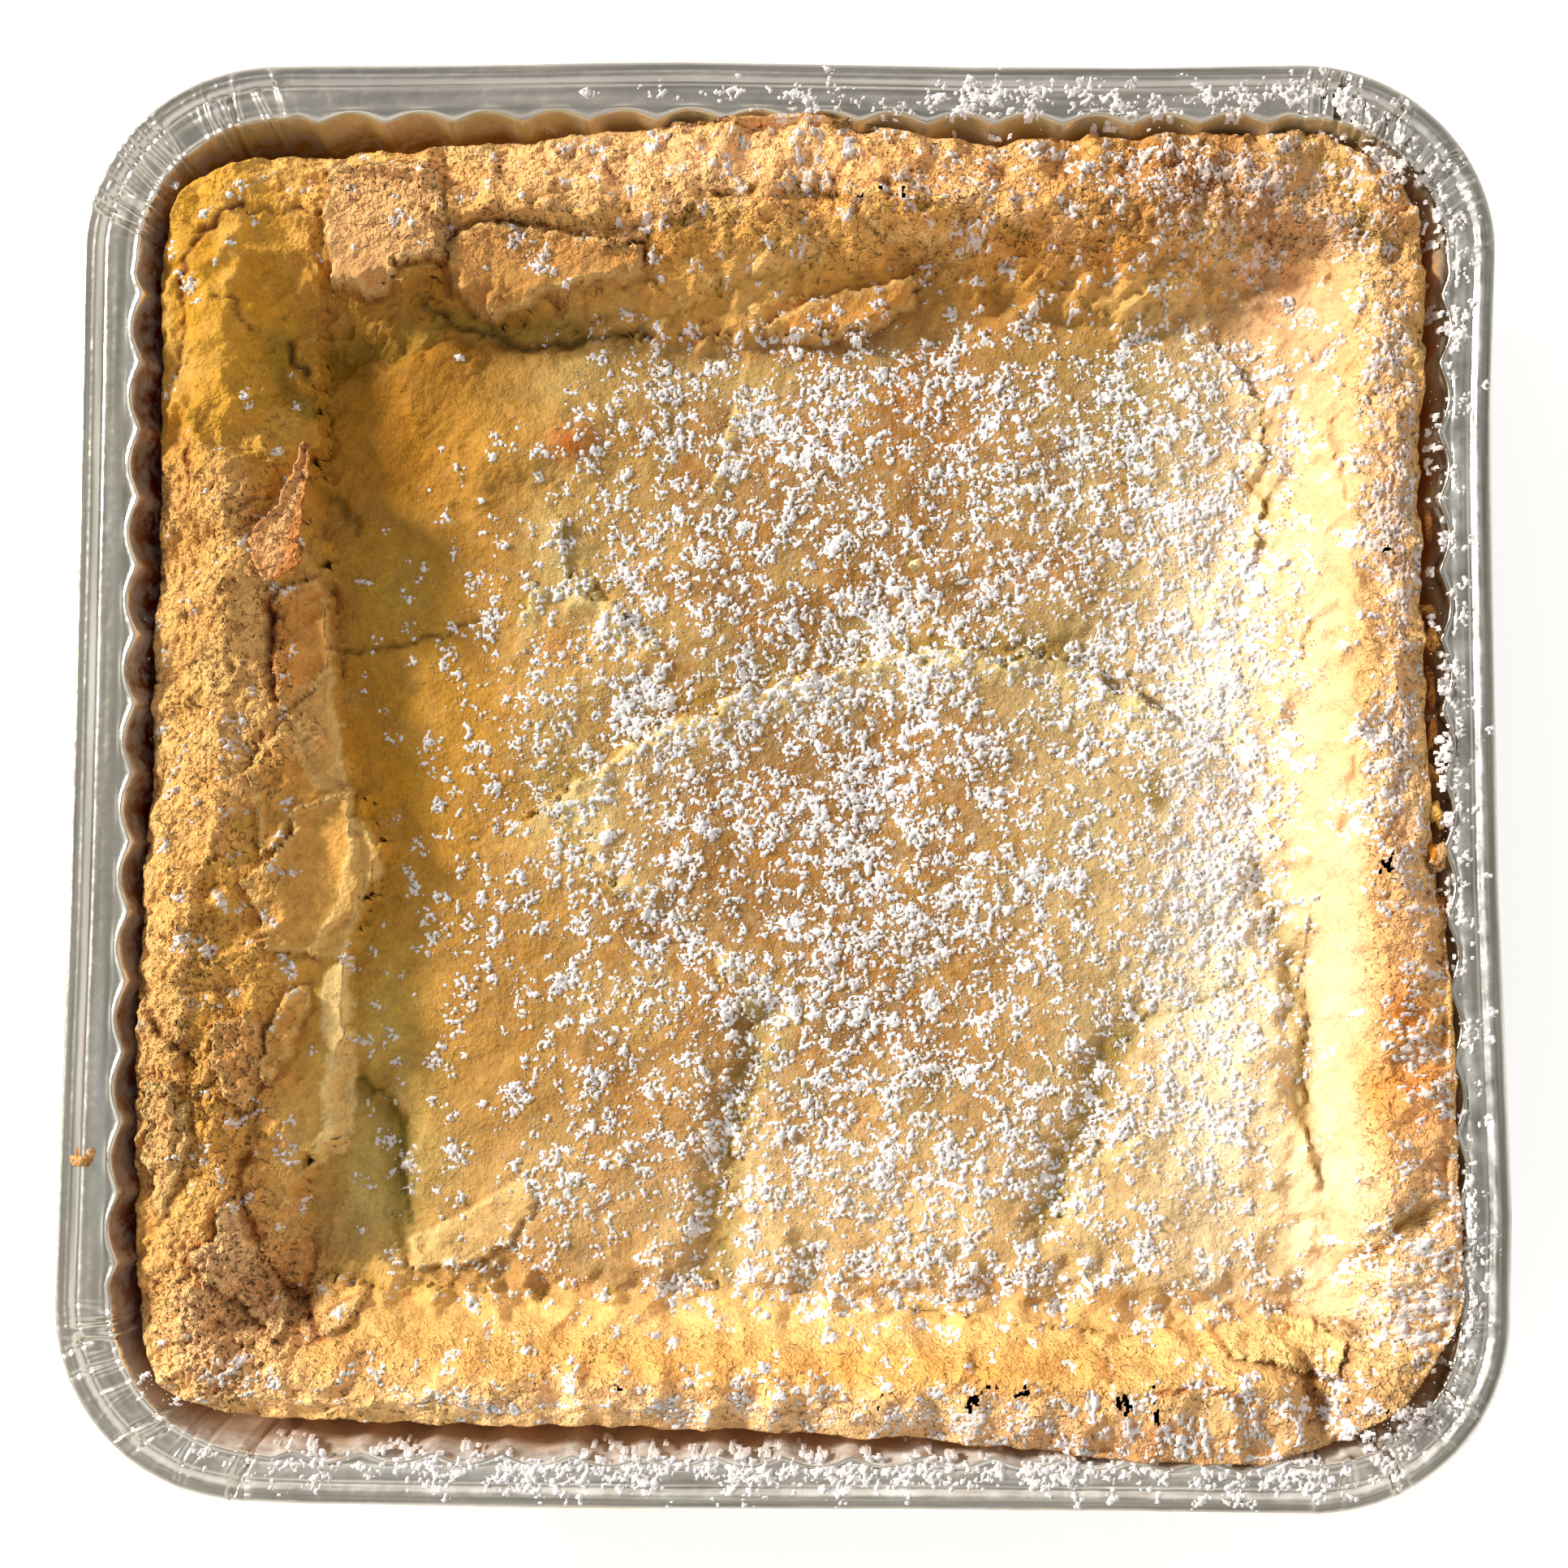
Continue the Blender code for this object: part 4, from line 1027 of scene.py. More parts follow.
def make_cake():
    """The cake's surface in two pieces that meet without a step: its middle, and its border and sides."""
    count = GRID_CELLS + 1
    u, v, top, paint = cake_grid()
    normals = grid_normals(top, count)
    index = np.arange(count * count).reshape(count, count)
    loop = np.concatenate([index[0, :-1], index[:-1, -1], index[-1, :0:-1], index[:0:-1, 0]])
    normals[loop] = 0.0
    points = [top]
    sides = []
    above = loop
    start = count * count
    for level in SIDE_LEVELS:
        side_x, side_y = onto_outline(u[loop], v[loop], *cake_outline(level))
        points.append(np.stack([side_x, side_y, np.full(len(loop), level)], axis=1))
        below = start + np.arange(len(loop))
        sides.append(np.stack([above, below, np.roll(below, -1), np.roll(above, -1)], axis=1))
        above = below
        start += len(loop)
    points = np.vstack(points)
    added = len(points) - len(top)
    normals = np.vstack([normals, np.zeros((added, 3))])
    paint["cake_color"] = np.vstack([paint["cake_color"], np.tile(AMBER, (added, 1))])
    paint["torn_share"] = np.vstack([paint["torn_share"], np.zeros((added, 3))])

    faces = grid_faces(count, count)
    in_middle = np.maximum(np.abs(u), np.abs(v))[faces].max(axis=1) < MIDDLE_SHARE
    look = cake_material()
    parts = {"cake_middle": faces[in_middle], "cake_border": np.vstack([faces[~in_middle], *sides])}
    for name, part in parts.items():
        used, renumbered = np.unique(part, return_inverse=True)
        colors = {attribute: values[used] for attribute, values in paint.items()}
        made = new_object(name, points[used], renumbered.reshape(part.shape), look, colors)
        made.data.normals_split_custom_set_from_vertices(normals[used].tolist())
        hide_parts("cake")
    fill_last_loop(made, len(loop))
    return look


# Loose bits of crust: place, size, turn and tilt in degrees, and colour
LOOSE_BITS = [
    ((92.9, 36, 34), (0.9, 2.6, 0.7), 0, 30, "#9a5c28"),
    ((92.6, 24, 34.2), (1, 1.6, 0.8), 60, 10, "#b8803c"),
    ((93, 19.6, 34.6), (1.5, 1.9, 1), 20, 25, "#dc9a4c"),
    ((92.9, 12.6, 33.9), (0.9, 3.4, 0.8), 6, 50, "#a8662a"),
    ((93.2, 6.4, 33.8), (0.8, 3, 0.7), -10, 40, "#b87838"),
    ((93, 0.4, 33.8), (0.9, 1.8, 0.8), 40, 0, "#c48444"),
    ((93.4, -5.6, 34.7), (1.5, 2.4, 1), 8, 40, "#ecb45a"),
    ((93.6, -12, 34.9), (1.9, 2.6, 1.1), -14, 35, "#e0ac74"),
    ((92.8, -11.4, 34.9), (1, 2.2, 0.9), 12, -30, "#d88424"),
    ((94, -18.6, 34.2), (0.8, 1.8, 0.7), 20, 0, "#a0602a"),
    ((-99.4, -56, 36.5), (1.5, 1.1, 0.95), 20, 0, "#d09c60"),
    ((-98, -54.9, 36.3), (0.7, 0.6, 0.5), 70, 0, "#dcb07c"),
    ((19, 31.5, 27), (1.3, 0.8, 0.5), 30, 0, "#ecd49c"),
    ((13.4, 84.6, 36.6), (1.2, 1, 0.7), 0, 0, "#f0d8b0"),
]
BIT_ROUGHNESS = 0.28
BIT_SCALE = 0.8


def lump(rng):
    """Points and faces of a small lump of a few crumbling facets, about one across each way."""
    bm = bmesh.new()
    bmesh.ops.create_icosphere(bm, subdivisions=2, radius=1.0)
    points = np.array([vertex.co for vertex in bm.verts])
    faces = np.array([[vertex.index for vertex in face.verts] for face in bm.faces])
    bm.free()
    spread = 1.0 + BIT_ROUGHNESS * rng.normal(size=len(points))
    return points * spread[:, None], faces


def make_loose_bits(look):
    """Flakes and crumbs of crust in the gap on the right, and one browned crumb on the rim."""
    rng = np.random.default_rng(41)
    points, faces, colors = [], [], []
    for place, size, turn, tilt, color in LOOSE_BITS:
        shape, sides = lump(rng)
        shape = shape * np.array(size) * BIT_SCALE
        turned = Matrix.Rotation(math.radians(turn), 3, "Z") @ Matrix.Rotation(math.radians(tilt), 3, "Y")
        shape = shape @ np.array(turned).T + np.array(place)
        faces.append(sides + sum(len(part) for part in points))
        points.append(shape)
        shade = rng.uniform(0.75, 1.15, (len(shape), 1))
        colors.append(shade * srgb(color))
    colors = np.vstack(colors)
    paint = {"cake_color": colors, "torn_share": np.full(colors.shape, 0.6)}
    made = new_object("loose_crust_bits", np.vstack(points), np.vstack(faces), look, paint, soft=False)


# The shard of crust that stands up on the left: places along Y, with its left and right edge there
SHARD = [
    (27.3, -74.4, -73.6), (28.7, -75.7, -72.0), (30.4, -77.0, -69.8), (31.8, -77.5, -69.9),
    (33.4, -77.4, -70.3), (36.3, -75.8, -70.0), (38.0, -73.6, -70.3), (39.4, -73.2, -69.7),
    (42.8, -71.5, -69.6), (45.8, -70.4, -69.2), (47.7, -69.9, -69.7),
]
SHARD_STEPS = (60, 18)
SHARD_LEVEL = 35.3
SHARD_CURL = 3.3
SHARD_FALL = 1.6
SHARD_RAGGED = 0.4
SHARD_THICKNESS = 0.3


def shard_shape():
    """Places of the shard, how far each is along and across it, and the ridge that runs over it."""
    rows, across = SHARD_STEPS
    t, share = np.meshgrid(np.linspace(0.0, 1.0, rows), np.linspace(0.0, 1.0, across), indexing="ij")
    t, share = t.ravel(), share.ravel()
    places, left, right = zip(*SHARD)
    y = places[0] + t * (places[-1] - places[0])
    edges = []
    for edge, seed, near in ((left, 181, 1.0 - share), (right, 183, share)):
        ragged = SHARD_RAGGED * near * fractal(y, 0.0 * y, 1.9, seed, layers=4, gain=0.6)
        edges.append(np.interp(y, places, edge) + ragged)
    x = edges[0] + (edges[1] - edges[0]) * share
    y = y + 0.3 * fractal(x, y, 1.5, 185, gain=0.7)
    z = SHARD_LEVEL + SHARD_CURL * (share - 0.55) ** 2 - SHARD_FALL * t
    z += 0.16 * fractal(x, y, 2.4, 187, gain=0.6)
    ridge = np.exp(-(((share - 0.35 - 0.4 * t) / 0.12) ** 2))
    z += 0.25 * ridge + 0.3 * fractal(x, y, 1.3, 191, gain=0.7)
    return x, y, z, t, share, ridge


def make_shard(look):
    """A thin angular shard, curled up along its left edge, that stands off the crust."""
    x, y, z, t, share, ridge = shard_shape()
    colors = np.tile(srgb("#d89c60"), (len(x), 1))
    browned = smooth(1.6 * (share - 0.35 - 0.3 * t) + 0.4 * fractal(x, y, 1.6, 189))
    colors = mix(colors, "#a8621e", 0.9 * browned)
    colors = mix(colors, "#ecc48c", 0.3 * ridge)
    paint = {"cake_color": colors, "torn_share": np.full(colors.shape, 0.7)}
    points = np.stack([x, y, z], axis=1)
    made = new_object("crust_shard", points, grid_faces(*SHARD_STEPS), look, paint, soft=False)
    thick = made.modifiers.new("shard_thickness", "SOLIDIFY")
    thick.thickness = SHARD_THICKNESS * MM


def outline_points():
    """Places round the pan: their corner, their angle, how far along the next side, and if on a side."""
    turn = np.arange(CORNER_STEPS) / CORNER_STEPS
    side = np.arange(FLUTES_PER_SIDE * FLUTE_STEPS) / (FLUTES_PER_SIDE * FLUTE_STEPS)
    count = len(turn) + len(side)
    corner = np.repeat(np.arange(4), count)
    angle = (corner + np.tile(np.append(turn, np.ones(len(side))), 4)) * math.pi / 2.0
    along = np.tile(np.append(np.zeros(len(turn)), side), 4)
    straight = np.tile(np.arange(count) >= len(turn), 4)
    return corner, angle, along, straight


def bowed(x, y, z):
    """Moves places of the pan outwards where its rim bows, and less the lower they lie."""
    share = smooth((z - BOW_START_Z) / (BOW_FULL_Z - BOW_START_Z))
    moves = []
    for across, along, far, near in ((x, y, RIGHT, LEFT), (y, x, TOP, BOTTOM)):
        far_bow = np.interp(along, *zip(*RIM_BOW[far])) * smooth(across / BOW_WIDTH)
        near_bow = np.interp(along, *zip(*RIM_BOW[near])) * smooth(-across / BOW_WIDTH)
        moves.append(share * (far_bow - near_bow))
    return x + moves[0], y + moves[1]


def pan_loop(inset, radius, shift, out):
    """One loop of places round the pan, moved outwards by out at each."""
    corner, angle, along, _ = outline_points()
    centre_x = PAN_HALF[0] - inset - radius
    centre_y = PAN_HALF[1] - inset - radius
    sign_x = np.where((corner == 0) | (corner == 3), 1.0, -1.0)
    sign_y = np.where((corner == 0) | (corner == 1), 1.0, -1.0)
    reach = radius + out
    length = np.where(corner % 2 == 0, 2.0 * centre_x, 2.0 * centre_y)
    x = sign_x * centre_x + reach * np.cos(angle) - np.sin(angle) * along * length
    y = sign_y * centre_y + reach * np.sin(angle) + np.cos(angle) * along * length
    return x + shift * OPENING_SHIFT[0], y + shift * OPENING_SHIFT[1]


def corner_arc():
    """Distance along each corner's outer arc from its middle, and which corner each place belongs to."""
    corner, angle, along, straight = outline_points()
    middle = (corner + 0.5) * math.pi / 2.0
    on_arc = (angle - middle) * CORNER_OUTER
    length = 2.0 * (PAN_HALF[0] - CORNER_OUTER)
    half_arc = CORNER_OUTER * math.pi / 4.0
    past = np.where(along < 0.5, half_arc + along * length, (along - 1.0) * length - half_arc)
    position = np.where(straight, past, on_arc)
    owner = np.where(straight & (along >= 0.5), (corner + 1) % 4, corner)
    return position, owner


def pleat_height(inset):
    """Height of the corner pleats and of a few crimps on the straight runs, at one inset."""
    position, owner = corner_arc()
    rng = np.random.default_rng(7)
    total = np.zeros(len(position))

    def ridge_of(corner, gap, width, depth):
        ridge = depth * np.exp(-((gap / width) ** 2))
        return np.where(owner == corner, ridge, 0.0)

    for corner in range(4):
        for _ in range(PLEATS_PER_CORNER):
            place = rng.uniform(-PLEAT_RANGE, PLEAT_RANGE)
            width = rng.uniform(*PLEAT_WIDTH)
            depth = rng.normal(0.0, 1.0)
            slant = rng.uniform(-PLEAT_SLANT, PLEAT_SLANT)
            start = rng.choice(PLEAT_STARTS)
            span = rng.uniform(*PLEAT_SPAN)
            fade = smooth((inset - start + 0.6) / 1.2) * (1.0 - smooth((inset - start - span) / 4.0))
            total += ridge_of(corner, position - place - slant * inset, width, depth * fade)
    for corner in range(4):
        for _ in range(CRIMPS_PER_CORNER):
            place = rng.uniform(*CRIMP_RANGE) * rng.choice([-1.0, 1.0])
            width = rng.uniform(*CRIMP_WIDTH)
            depth = CRIMP_DEPTH * rng.normal(0.0, 1.0)
            total += ridge_of(corner, position - place, width, depth)
    return PLEAT_DEPTH * total


def flute_wave():
    """The wall's flutes: rounded outwards, narrow inwards, and none at the corners."""
    _, _, along, straight = outline_points()
    wave = np.abs(np.cos(along * FLUTES_PER_SIDE * math.pi))
    fade = smooth(np.minimum(along, 1.0 - along) * 60.0)
    return straight * fade * (2.0 * np.sqrt(wave**2 + 0.01) - 1.1)


def pan_radius(inset):
    """Corner radius of the foil at an inset from the outer edge."""
    return np.interp(inset, *zip(*PAN_CORNERS))


def rim_height(inset):
    """Height of the foil at an inset, from the outer edge in to the wall's shoulder."""
    insets, heights = zip(*FOIL_PROFILE[3:])
    return np.interp(inset, insets, heights)


def foil_surface(name):
    """Pressed foil's look, with its wrinkles, and its tone, whose differences by side and streaks along the
    rim are painted reflection.
    """
    look = Look(name, Roughness=0.24, Specular_IOR_Level=0.5)
    wrinkle = look.noise(900.0, 4.0, 0.55)
    crinkle = look.noise(150.0, 3.0, 0.5)
    look.fill(look.shader, {"Roughness": look.ramp(wrinkle, 0.14, 0.26, *NOISE_SPAN)})
    look.bumps([(crinkle, 0.0004), (wrinkle, 0.00002)])
    return look, look.paint("foil_tone")


# Darkest and lightest shade of the pan's outside, against the upper side's tone
OUTSIDE_SHADE = (0.5, 0.6)


def bare_foil_material():
    """Bare metal, as on the pan's outside."""
    look, tone = foil_surface("bare_foil")
    shade = look.ramp(look.noise(60.0, 3.0, 0.5), *OUTSIDE_SHADE, *NOISE_SPAN)
    look.fill(look.shader, {"Base Color": look.shaded(tone, shade), "Metallic": 1.0})
    return look.material


def filmed_foil_material():
    """Bright metal with baked residue on the wall's inside, partly painted shade deep down the wall, and
    sugar dust on the flange with a painted highlight along the bead.
    """
    look, tone = foil_surface("pressed_foil")
    ragged = look.ramp(look.noise(420.0, 5.0, 0.65), 0.5, 1.35, *NOISE_SPAN)
    amount = look.product(look.paint("film_dust_and_painted_light_share", "Fac"), ragged, use_clamp=True)
    blend = {"A": tone, "B": look.paint("film_dust_and_painted_light_color"), "Factor": amount}
    film = look.node("Mix", "Result", blend, data_type="RGBA")
    look.fill(look.shader, {"Base Color": film, "Metallic": look.ramp(amount, 1.0, 0.1)})
    return look.material


# Colour of the baked film on the wall's inside, darkened down the wall and most on the left as partly painted
# shade; the bare foil's tone, whose differences by side and streaks along the rim are painted reflection; and
# how far up the wall the film reaches, on each side
FILM_AND_SHADE_COLORS = {LEFT: srgb("#7c5430"), RIGHT: srgb("#d8b888"), TOP: srgb("#b49a60"), BOTTOM: srgb("#ece8e2")}
FILM_DEEP_AND_SHADE = {LEFT: srgb("#5a120c"), RIGHT: srgb("#c47430"), TOP: srgb("#7c5a24"), BOTTOM: srgb("#d8b898")}
FOIL_TONES = {LEFT: srgb("#ece4d6"), RIGHT: srgb("#b8b4aa"), TOP: srgb("#d4ccc2"), BOTTOM: srgb("#e6dccf")}
SIDE_FADE = 8.0
FILM_DEEP_FROM = 8.0
FOIL_STREAKS = 0.5
FILM_START = {LEFT: 7.35, RIGHT: 7.9, TOP: 7.0, BOTTOM: 7.3}

# Fine dust of sugar on the flange, whose white line along the bead is partly a painted highlight: how much on
# each side, its lines as (inset, width, share), and its end
DUST_AND_HIGHLIGHT_ON_FOIL = {LEFT: 0.0, RIGHT: 0.7, TOP: 0.14, BOTTOM: 0.5}
DUST_AND_HIGHLIGHT_LINES = [(2.5, 0.6, 1.0), (5.4, 1.7, 0.5)]
DUST_AND_HIGHLIGHT_END = 7.0
DUST_AND_HIGHLIGHT_WHITE = np.array([0.88, 0.88, 0.88])


def by_side(x, y, values):
    """Blends the values of the four sides by how near each place is to them."""
    nearness = {
        LEFT: np.exp((-PAN_HALF[0] - x) / SIDE_FADE),
        RIGHT: np.exp((x - PAN_HALF[0]) / SIDE_FADE),
        TOP: np.exp((y - PAN_HALF[1]) / SIDE_FADE),
        BOTTOM: np.exp((-PAN_HALF[1] - y) / SIDE_FADE),
    }
    total = sum(nearness.values())
    return sum(np.multiply.outer(nearness[side] / total, values[side]) for side in nearness)


def film_on_foil(x, y, inset):
    """Share of baked film, sugar dust and painted highlight, its colour, and the bare foil's tone with its
    painted reflection, at one inset round the pan.
    """
    start = by_side(x, y, FILM_START) + 0.35 * fractal(x, y, 6.0, 151)
    share = smooth((inset - start) / 0.5) * (0.75 + 0.25 * smooth((inset - start) / 2.5))
    # Painted reflection: the foil's tone differs by side and in streaks along the rim.
    streak = 1.0 + FOIL_STREAKS * noise(np.full(np.shape(x), 3.0 * inset), 0.04 * (x + y), 1.0, 157)
    tone = by_side(x, y, FOIL_TONES) * streak[:, None]
    # Partly painted shade: the film is painted darker deeper down the wall.
    depth = smooth((inset - FILM_DEEP_FROM) / 1.8 + 0.25 * fractal(x, y, 3.0, 153))
    film = mix(by_side(x, y, FILM_AND_SHADE_COLORS), by_side(x, y, FILM_DEEP_AND_SHADE), depth)
    # Sugar dust on the flange, whose white line along the bead is partly a painted highlight.
    if inset < DUST_AND_HIGHLIGHT_END:
        line = 0.0
        for middle, width, strength in DUST_AND_HIGHLIGHT_LINES:
            line += strength * math.exp(-(((inset - middle) / width) ** 2))
        patches = 0.7 + 0.8 * fractal(x, y, 5.0, 159, layers=4, gain=0.7)
        share = np.clip(by_side(x, y, DUST_AND_HIGHLIGHT_ON_FOIL) * line * patches, 0.0, 1.0)
        film = np.tile(DUST_AND_HIGHLIGHT_WHITE, (len(x), 1))
    return share, film, np.clip(tone, 0.0, 0.95)


def make_pan():
    """The thin foil pan, from its curled edge down to the floor."""
    wave = flute_wave()
    rows, shares, colors, tones = [], [], [], []
    for inset, z in FOIL_PROFILE:
        fluted = smooth((inset - 5.9) / 1.2) * (1.0 - 0.45 * smooth((inset - 12.0) / 8.0))
        fluted *= 1.0 - smooth((inset - 20.0) / 2.0)
        shift = smooth((inset - 3.2) / 4.0)
        pleats = pleat_height(inset) * (1.0 - smooth((inset - PLEAT_END) / 6.0))
        pleats *= BEAD_SHARE + (1.0 - BEAD_SHARE) * smooth(inset / 2.0)
        x, y = pan_loop(inset, pan_radius(inset), shift, FLUTE_DEPTH * fluted * wave - 0.4 * pleats)
        x, y = bowed(x, y, z)
        x, y = (np.clip(part, low / MM, high / MM) for part, low, high in zip((x, y), *cad_bounds))
        height = z + pleats * (1.0 - 0.6 * smooth((inset - 7.0) / 2.0))
        rows.append(np.stack([x, y, np.minimum(np.maximum(height, FLOOR_Z), PAN_HEIGHT)], axis=1))
        share, color, tone = film_on_foil(x, y, inset)
        shares.append(np.repeat(share[:, None], 3, axis=1))
        colors.append(color)
        tones.append(tone)
    columns = len(wave)
    points = np.vstack(rows)
    faces = grid_faces(len(rows), columns, wrap=True)
    paint = {"film_dust_and_painted_light_share": np.vstack(shares), "film_dust_and_painted_light_color": np.vstack(colors), "foil_tone": np.vstack(tones)}
    made = new_object("foil_pan_surface", points, faces, filmed_foil_material(), paint)
    fill_last_loop(made, columns)
    made.data.materials.append(bare_foil_material())
    thick = made.modifiers.new("foil_thickness", "SOLIDIFY")
    thick.thickness = FOIL * MM
    thick.offset = -1.0
    thick.material_offset = 1
    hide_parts("foil_pan")
    return made


def fill_last_loop(made, count):
    """Closes a mesh with one face over its last loop of points."""
    bm = bmesh.new()
    bm.from_mesh(made.data)
    bm.verts.ensure_lookup_table()
    bm.faces.new(bm.verts[-count:])
    bmesh.ops.recalc_face_normals(bm, faces=bm.faces)
    bm.to_mesh(made.data)
    bm.free()


def sugar_material(name):
    """Powdered sugar: matt, very pale, duller where it has soaked in and where shade is painted on it."""
    look = Look(name, Roughness=0.9, Specular_IOR_Level=0.15)
    grain = look.noise(2600.0, 1.5, 0.6)
    color = look.shaded(look.paint("sugar_color"), look.ramp(grain, 0.88, 1.0, *NOISE_SPAN))
    look.fill(look.shader, {"Base Color": color})
    look.bumps([(grain, 0.0003)])
    return look.material


def grains(name, centres, radii, look, seed):
    """Small irregular four-sided grains joined into one mesh."""
    rng = np.random.default_rng(seed)
    count = len(centres)
    axes = np.array([(1, 0, -0.3), (-0.5, 0.87, -0.3), (-0.5, -0.87, -0.3), (0, 0, 1)])
    turn = rng.uniform(0.0, 2.0 * math.pi, count)
    cos, sin = np.cos(turn)[:, None], np.sin(turn)[:, None]
    corners = np.stack([
        cos * axes[:, 0] - sin * axes[:, 1],
        sin * axes[:, 0] + cos * axes[:, 1],
        np.tile(axes[:, 2], (count, 1)),
    ], axis=2)
    stretch = rng.uniform(0.7, 1.6, (count, 4, 1)) * radii[:, None, None]
    points = (centres[:, None, :] + corners * stretch).reshape(-1, 3)
    shape = [(0, 1, 3), (1, 2, 3), (2, 0, 3), (0, 2, 1)]
    faces = (np.arange(count)[:, None, None] * 4 + np.array(shape)[None]).reshape(-1, 3)
    paint = {"sugar_color": sugar_color(points[:, 0], points[:, 1])}
    made = new_object(name, points, faces, look, paint, soft=False)


# Sugar: spacing of the clumps, radii of their grains, pitch of the grid, and how many pieces it makes
CLUMP_STEP = 1.16
CLUMP_FULL = 0.72
CLUMP_SIZE = -0.24
RIM_CLUMP_STEP = 0.95
RIM_CLUMP_SIZE = -0.8
SIZE_SPREAD = 0.7
GRAIN_RADIUS = (0.15, 0.31)
GRAIN_SCATTER = 0.36
GRAIN_LIFT = 0.36
SUGAR_PITCH = 0.26
SUGAR_LOW = (-91.5, -95.0)
SUGAR_HIGH = (96.0, 95.0)
SUGAR_BANDS = 4
SPECKS_PER_CLUMP = 5.0
MOST_SPECKS = 40000
SUGAR_LIFT = 0.9
SUGAR_SINK = 0.2
SPECK_RADIUS = (0.08, 0.18)

# Where the sugar lies: place, reach, turn in degrees and share of the surface covered
SUGAR_SPOTS = [
    (10, 4, 52, 58, 0, 0.42),
    (2, 30, 30, 32, 0, 0.06),
    (0, 54, 28, 9, 0, 0.3),
    (20, -42, 46, 18, 0, 0.15),
    (50, 52, 20, 10, 25, 0.34),
    (46, 30, 24, 30, 0, 0.20),
    (60, -20, 14, 50, 0, 0.26),
    (65, 12, 8, 42, 0, 0.62),
    (14, -60, 42, 12, 0, 0.26),
    (14, -73, 50, 3.4, 0, 0.3),
    (-36, -30, 20, 44, 0, 0.08),
    (-57, -36, 6, 14, 0, 0.07),
    (-30, -64, 16, 4, 20, 0.14),
    (20, 68, 30, 5, 10, 0.14),
    (0, 88, 46, 6, 0, 0.1),
    (64, 86, 26, 9, 0, 0.3),
    (86, 62, 5, 26, 0, 0.36),
    (89, 36, 3.4, 14, 0, 0.60),
    (88, 0, 4, 20, 0, 0.50),
    (90, -40, 3, 14, 0, 0.35),
    (88, -76, 8, 14, 0, 0.50),
    (60, -92, 40, 4, 0, 0.40),
    (-10, -90, 60, 3.6, 0, 0.26),
    (-30, -84, 40, 8, 0, 0.06),
    (-80, -20, 9, 70, 0, 0.035),
    (-62, 80, 30, 10, 0, 0.04),
]
SUGAR_FREE = [
    (79, 10, 5, 40, 0, 0.85),
    (80, -45, 6.5, 40, 0, 0.95),
    (-66, 0, 5, 60, 0, 0.6),
    (62, -84, 16, 4, 0, 0.6),
    (8, 73, 66, 6, 0, 0.8),
    (38, 14, 12, 14, 0, 0.4),
    (-10, 18, 10, 10, 0, 0.2),
    (-50, 58, 22, 20, 0, 0.85),
    (-46, -46, 12, 22, 0, 0.6),
    (-10, -82, 60, 3.6, 0, 0.5),
]

# Where sugar is duller, partly soaked in and partly painted shade where the borders shade it: place, reach,
# turn in degrees and strength
SUGAR_DULL_AND_SHADE = [
    (10, 82, 60, 12, 0, 0.55),
    (66, 84, 26, 12, 0, 0.8),
    (88, 40, 7, 50, 0, 0.6),
    (90, -30, 6, 40, 0, 0.5),
    (86, -80, 9, 14, 0, 0.5),
    (-80, -10, 14, 80, 0, 0.5),
    (30, -92, 70, 5, 0, 0.3),
]
SUGAR_WHITE = np.array([0.91, 0.87, 0.87])
# Tan of soaked sugar, which also stands for painted shade on the sugar.
SUGAR_SOAKED_AND_SHADE = srgb("#d6b49e")


def sugar_color(x, y):
    """Colour of the sugar at each place, duller where it has soaked in and where shade is painted on it."""
    dull_and_shade = np.zeros(np.shape(x))
    for *oval, share in SUGAR_DULL_AND_SHADE:
        dull_and_shade = np.maximum(dull_and_shade, share * spot(x, y, *oval))
    dull_and_shade = dull_and_shade * (1.0 + 0.5 * fractal(x, y, 3.0, 207)) + 0.1 * smooth(fractal(x, y, 2.0, 209))
    return mix(np.tile(SUGAR_WHITE, (len(x), 1)), SUGAR_SOAKED_AND_SHADE, dull_and_shade)


def sugar_cover(x, y):
    """Share of the surface that sugar covers, from 0 to 1."""
    cover = np.zeros(np.shape(x))
    for *oval, share in SUGAR_SPOTS:
        cover = 1.0 - (1.0 - cover) * (1.0 - share * spot(x, y, *oval))
    for *oval, share in SUGAR_FREE:
        cover *= 1.0 - share * spot(x, y, *oval)
    shade = smooth((x + 62.0 + 0.25 * np.abs(y)) / 26.0)
    cover *= np.where(wall_distance(x, y) > 22.0, 0.12 + 0.88 * shade, 1.0)
    return np.clip(cover * (1.0 + 0.4 * fractal(x, y, 9.0, 205, layers=2)), 0.0, 0.95)


def clump_places(low, high, step, cover_at, rng):
    """Places of sugar clumps: scattered evenly, and kept the more often the more sugar there is."""
    columns = np.arange(low[0], high[0], step)
    rows = np.arange(low[1], high[1], step)
    x, y = [part.ravel() for part in np.meshgrid(columns, rows)]
    x = x + rng.uniform(-0.6, 0.6, len(x)) * step
    y = y + rng.uniform(-0.6, 0.6, len(y)) * step
    kept = rng.uniform(0.0, CLUMP_FULL, len(x)) < cover_at(x, y)
    return x[kept], y[kept]


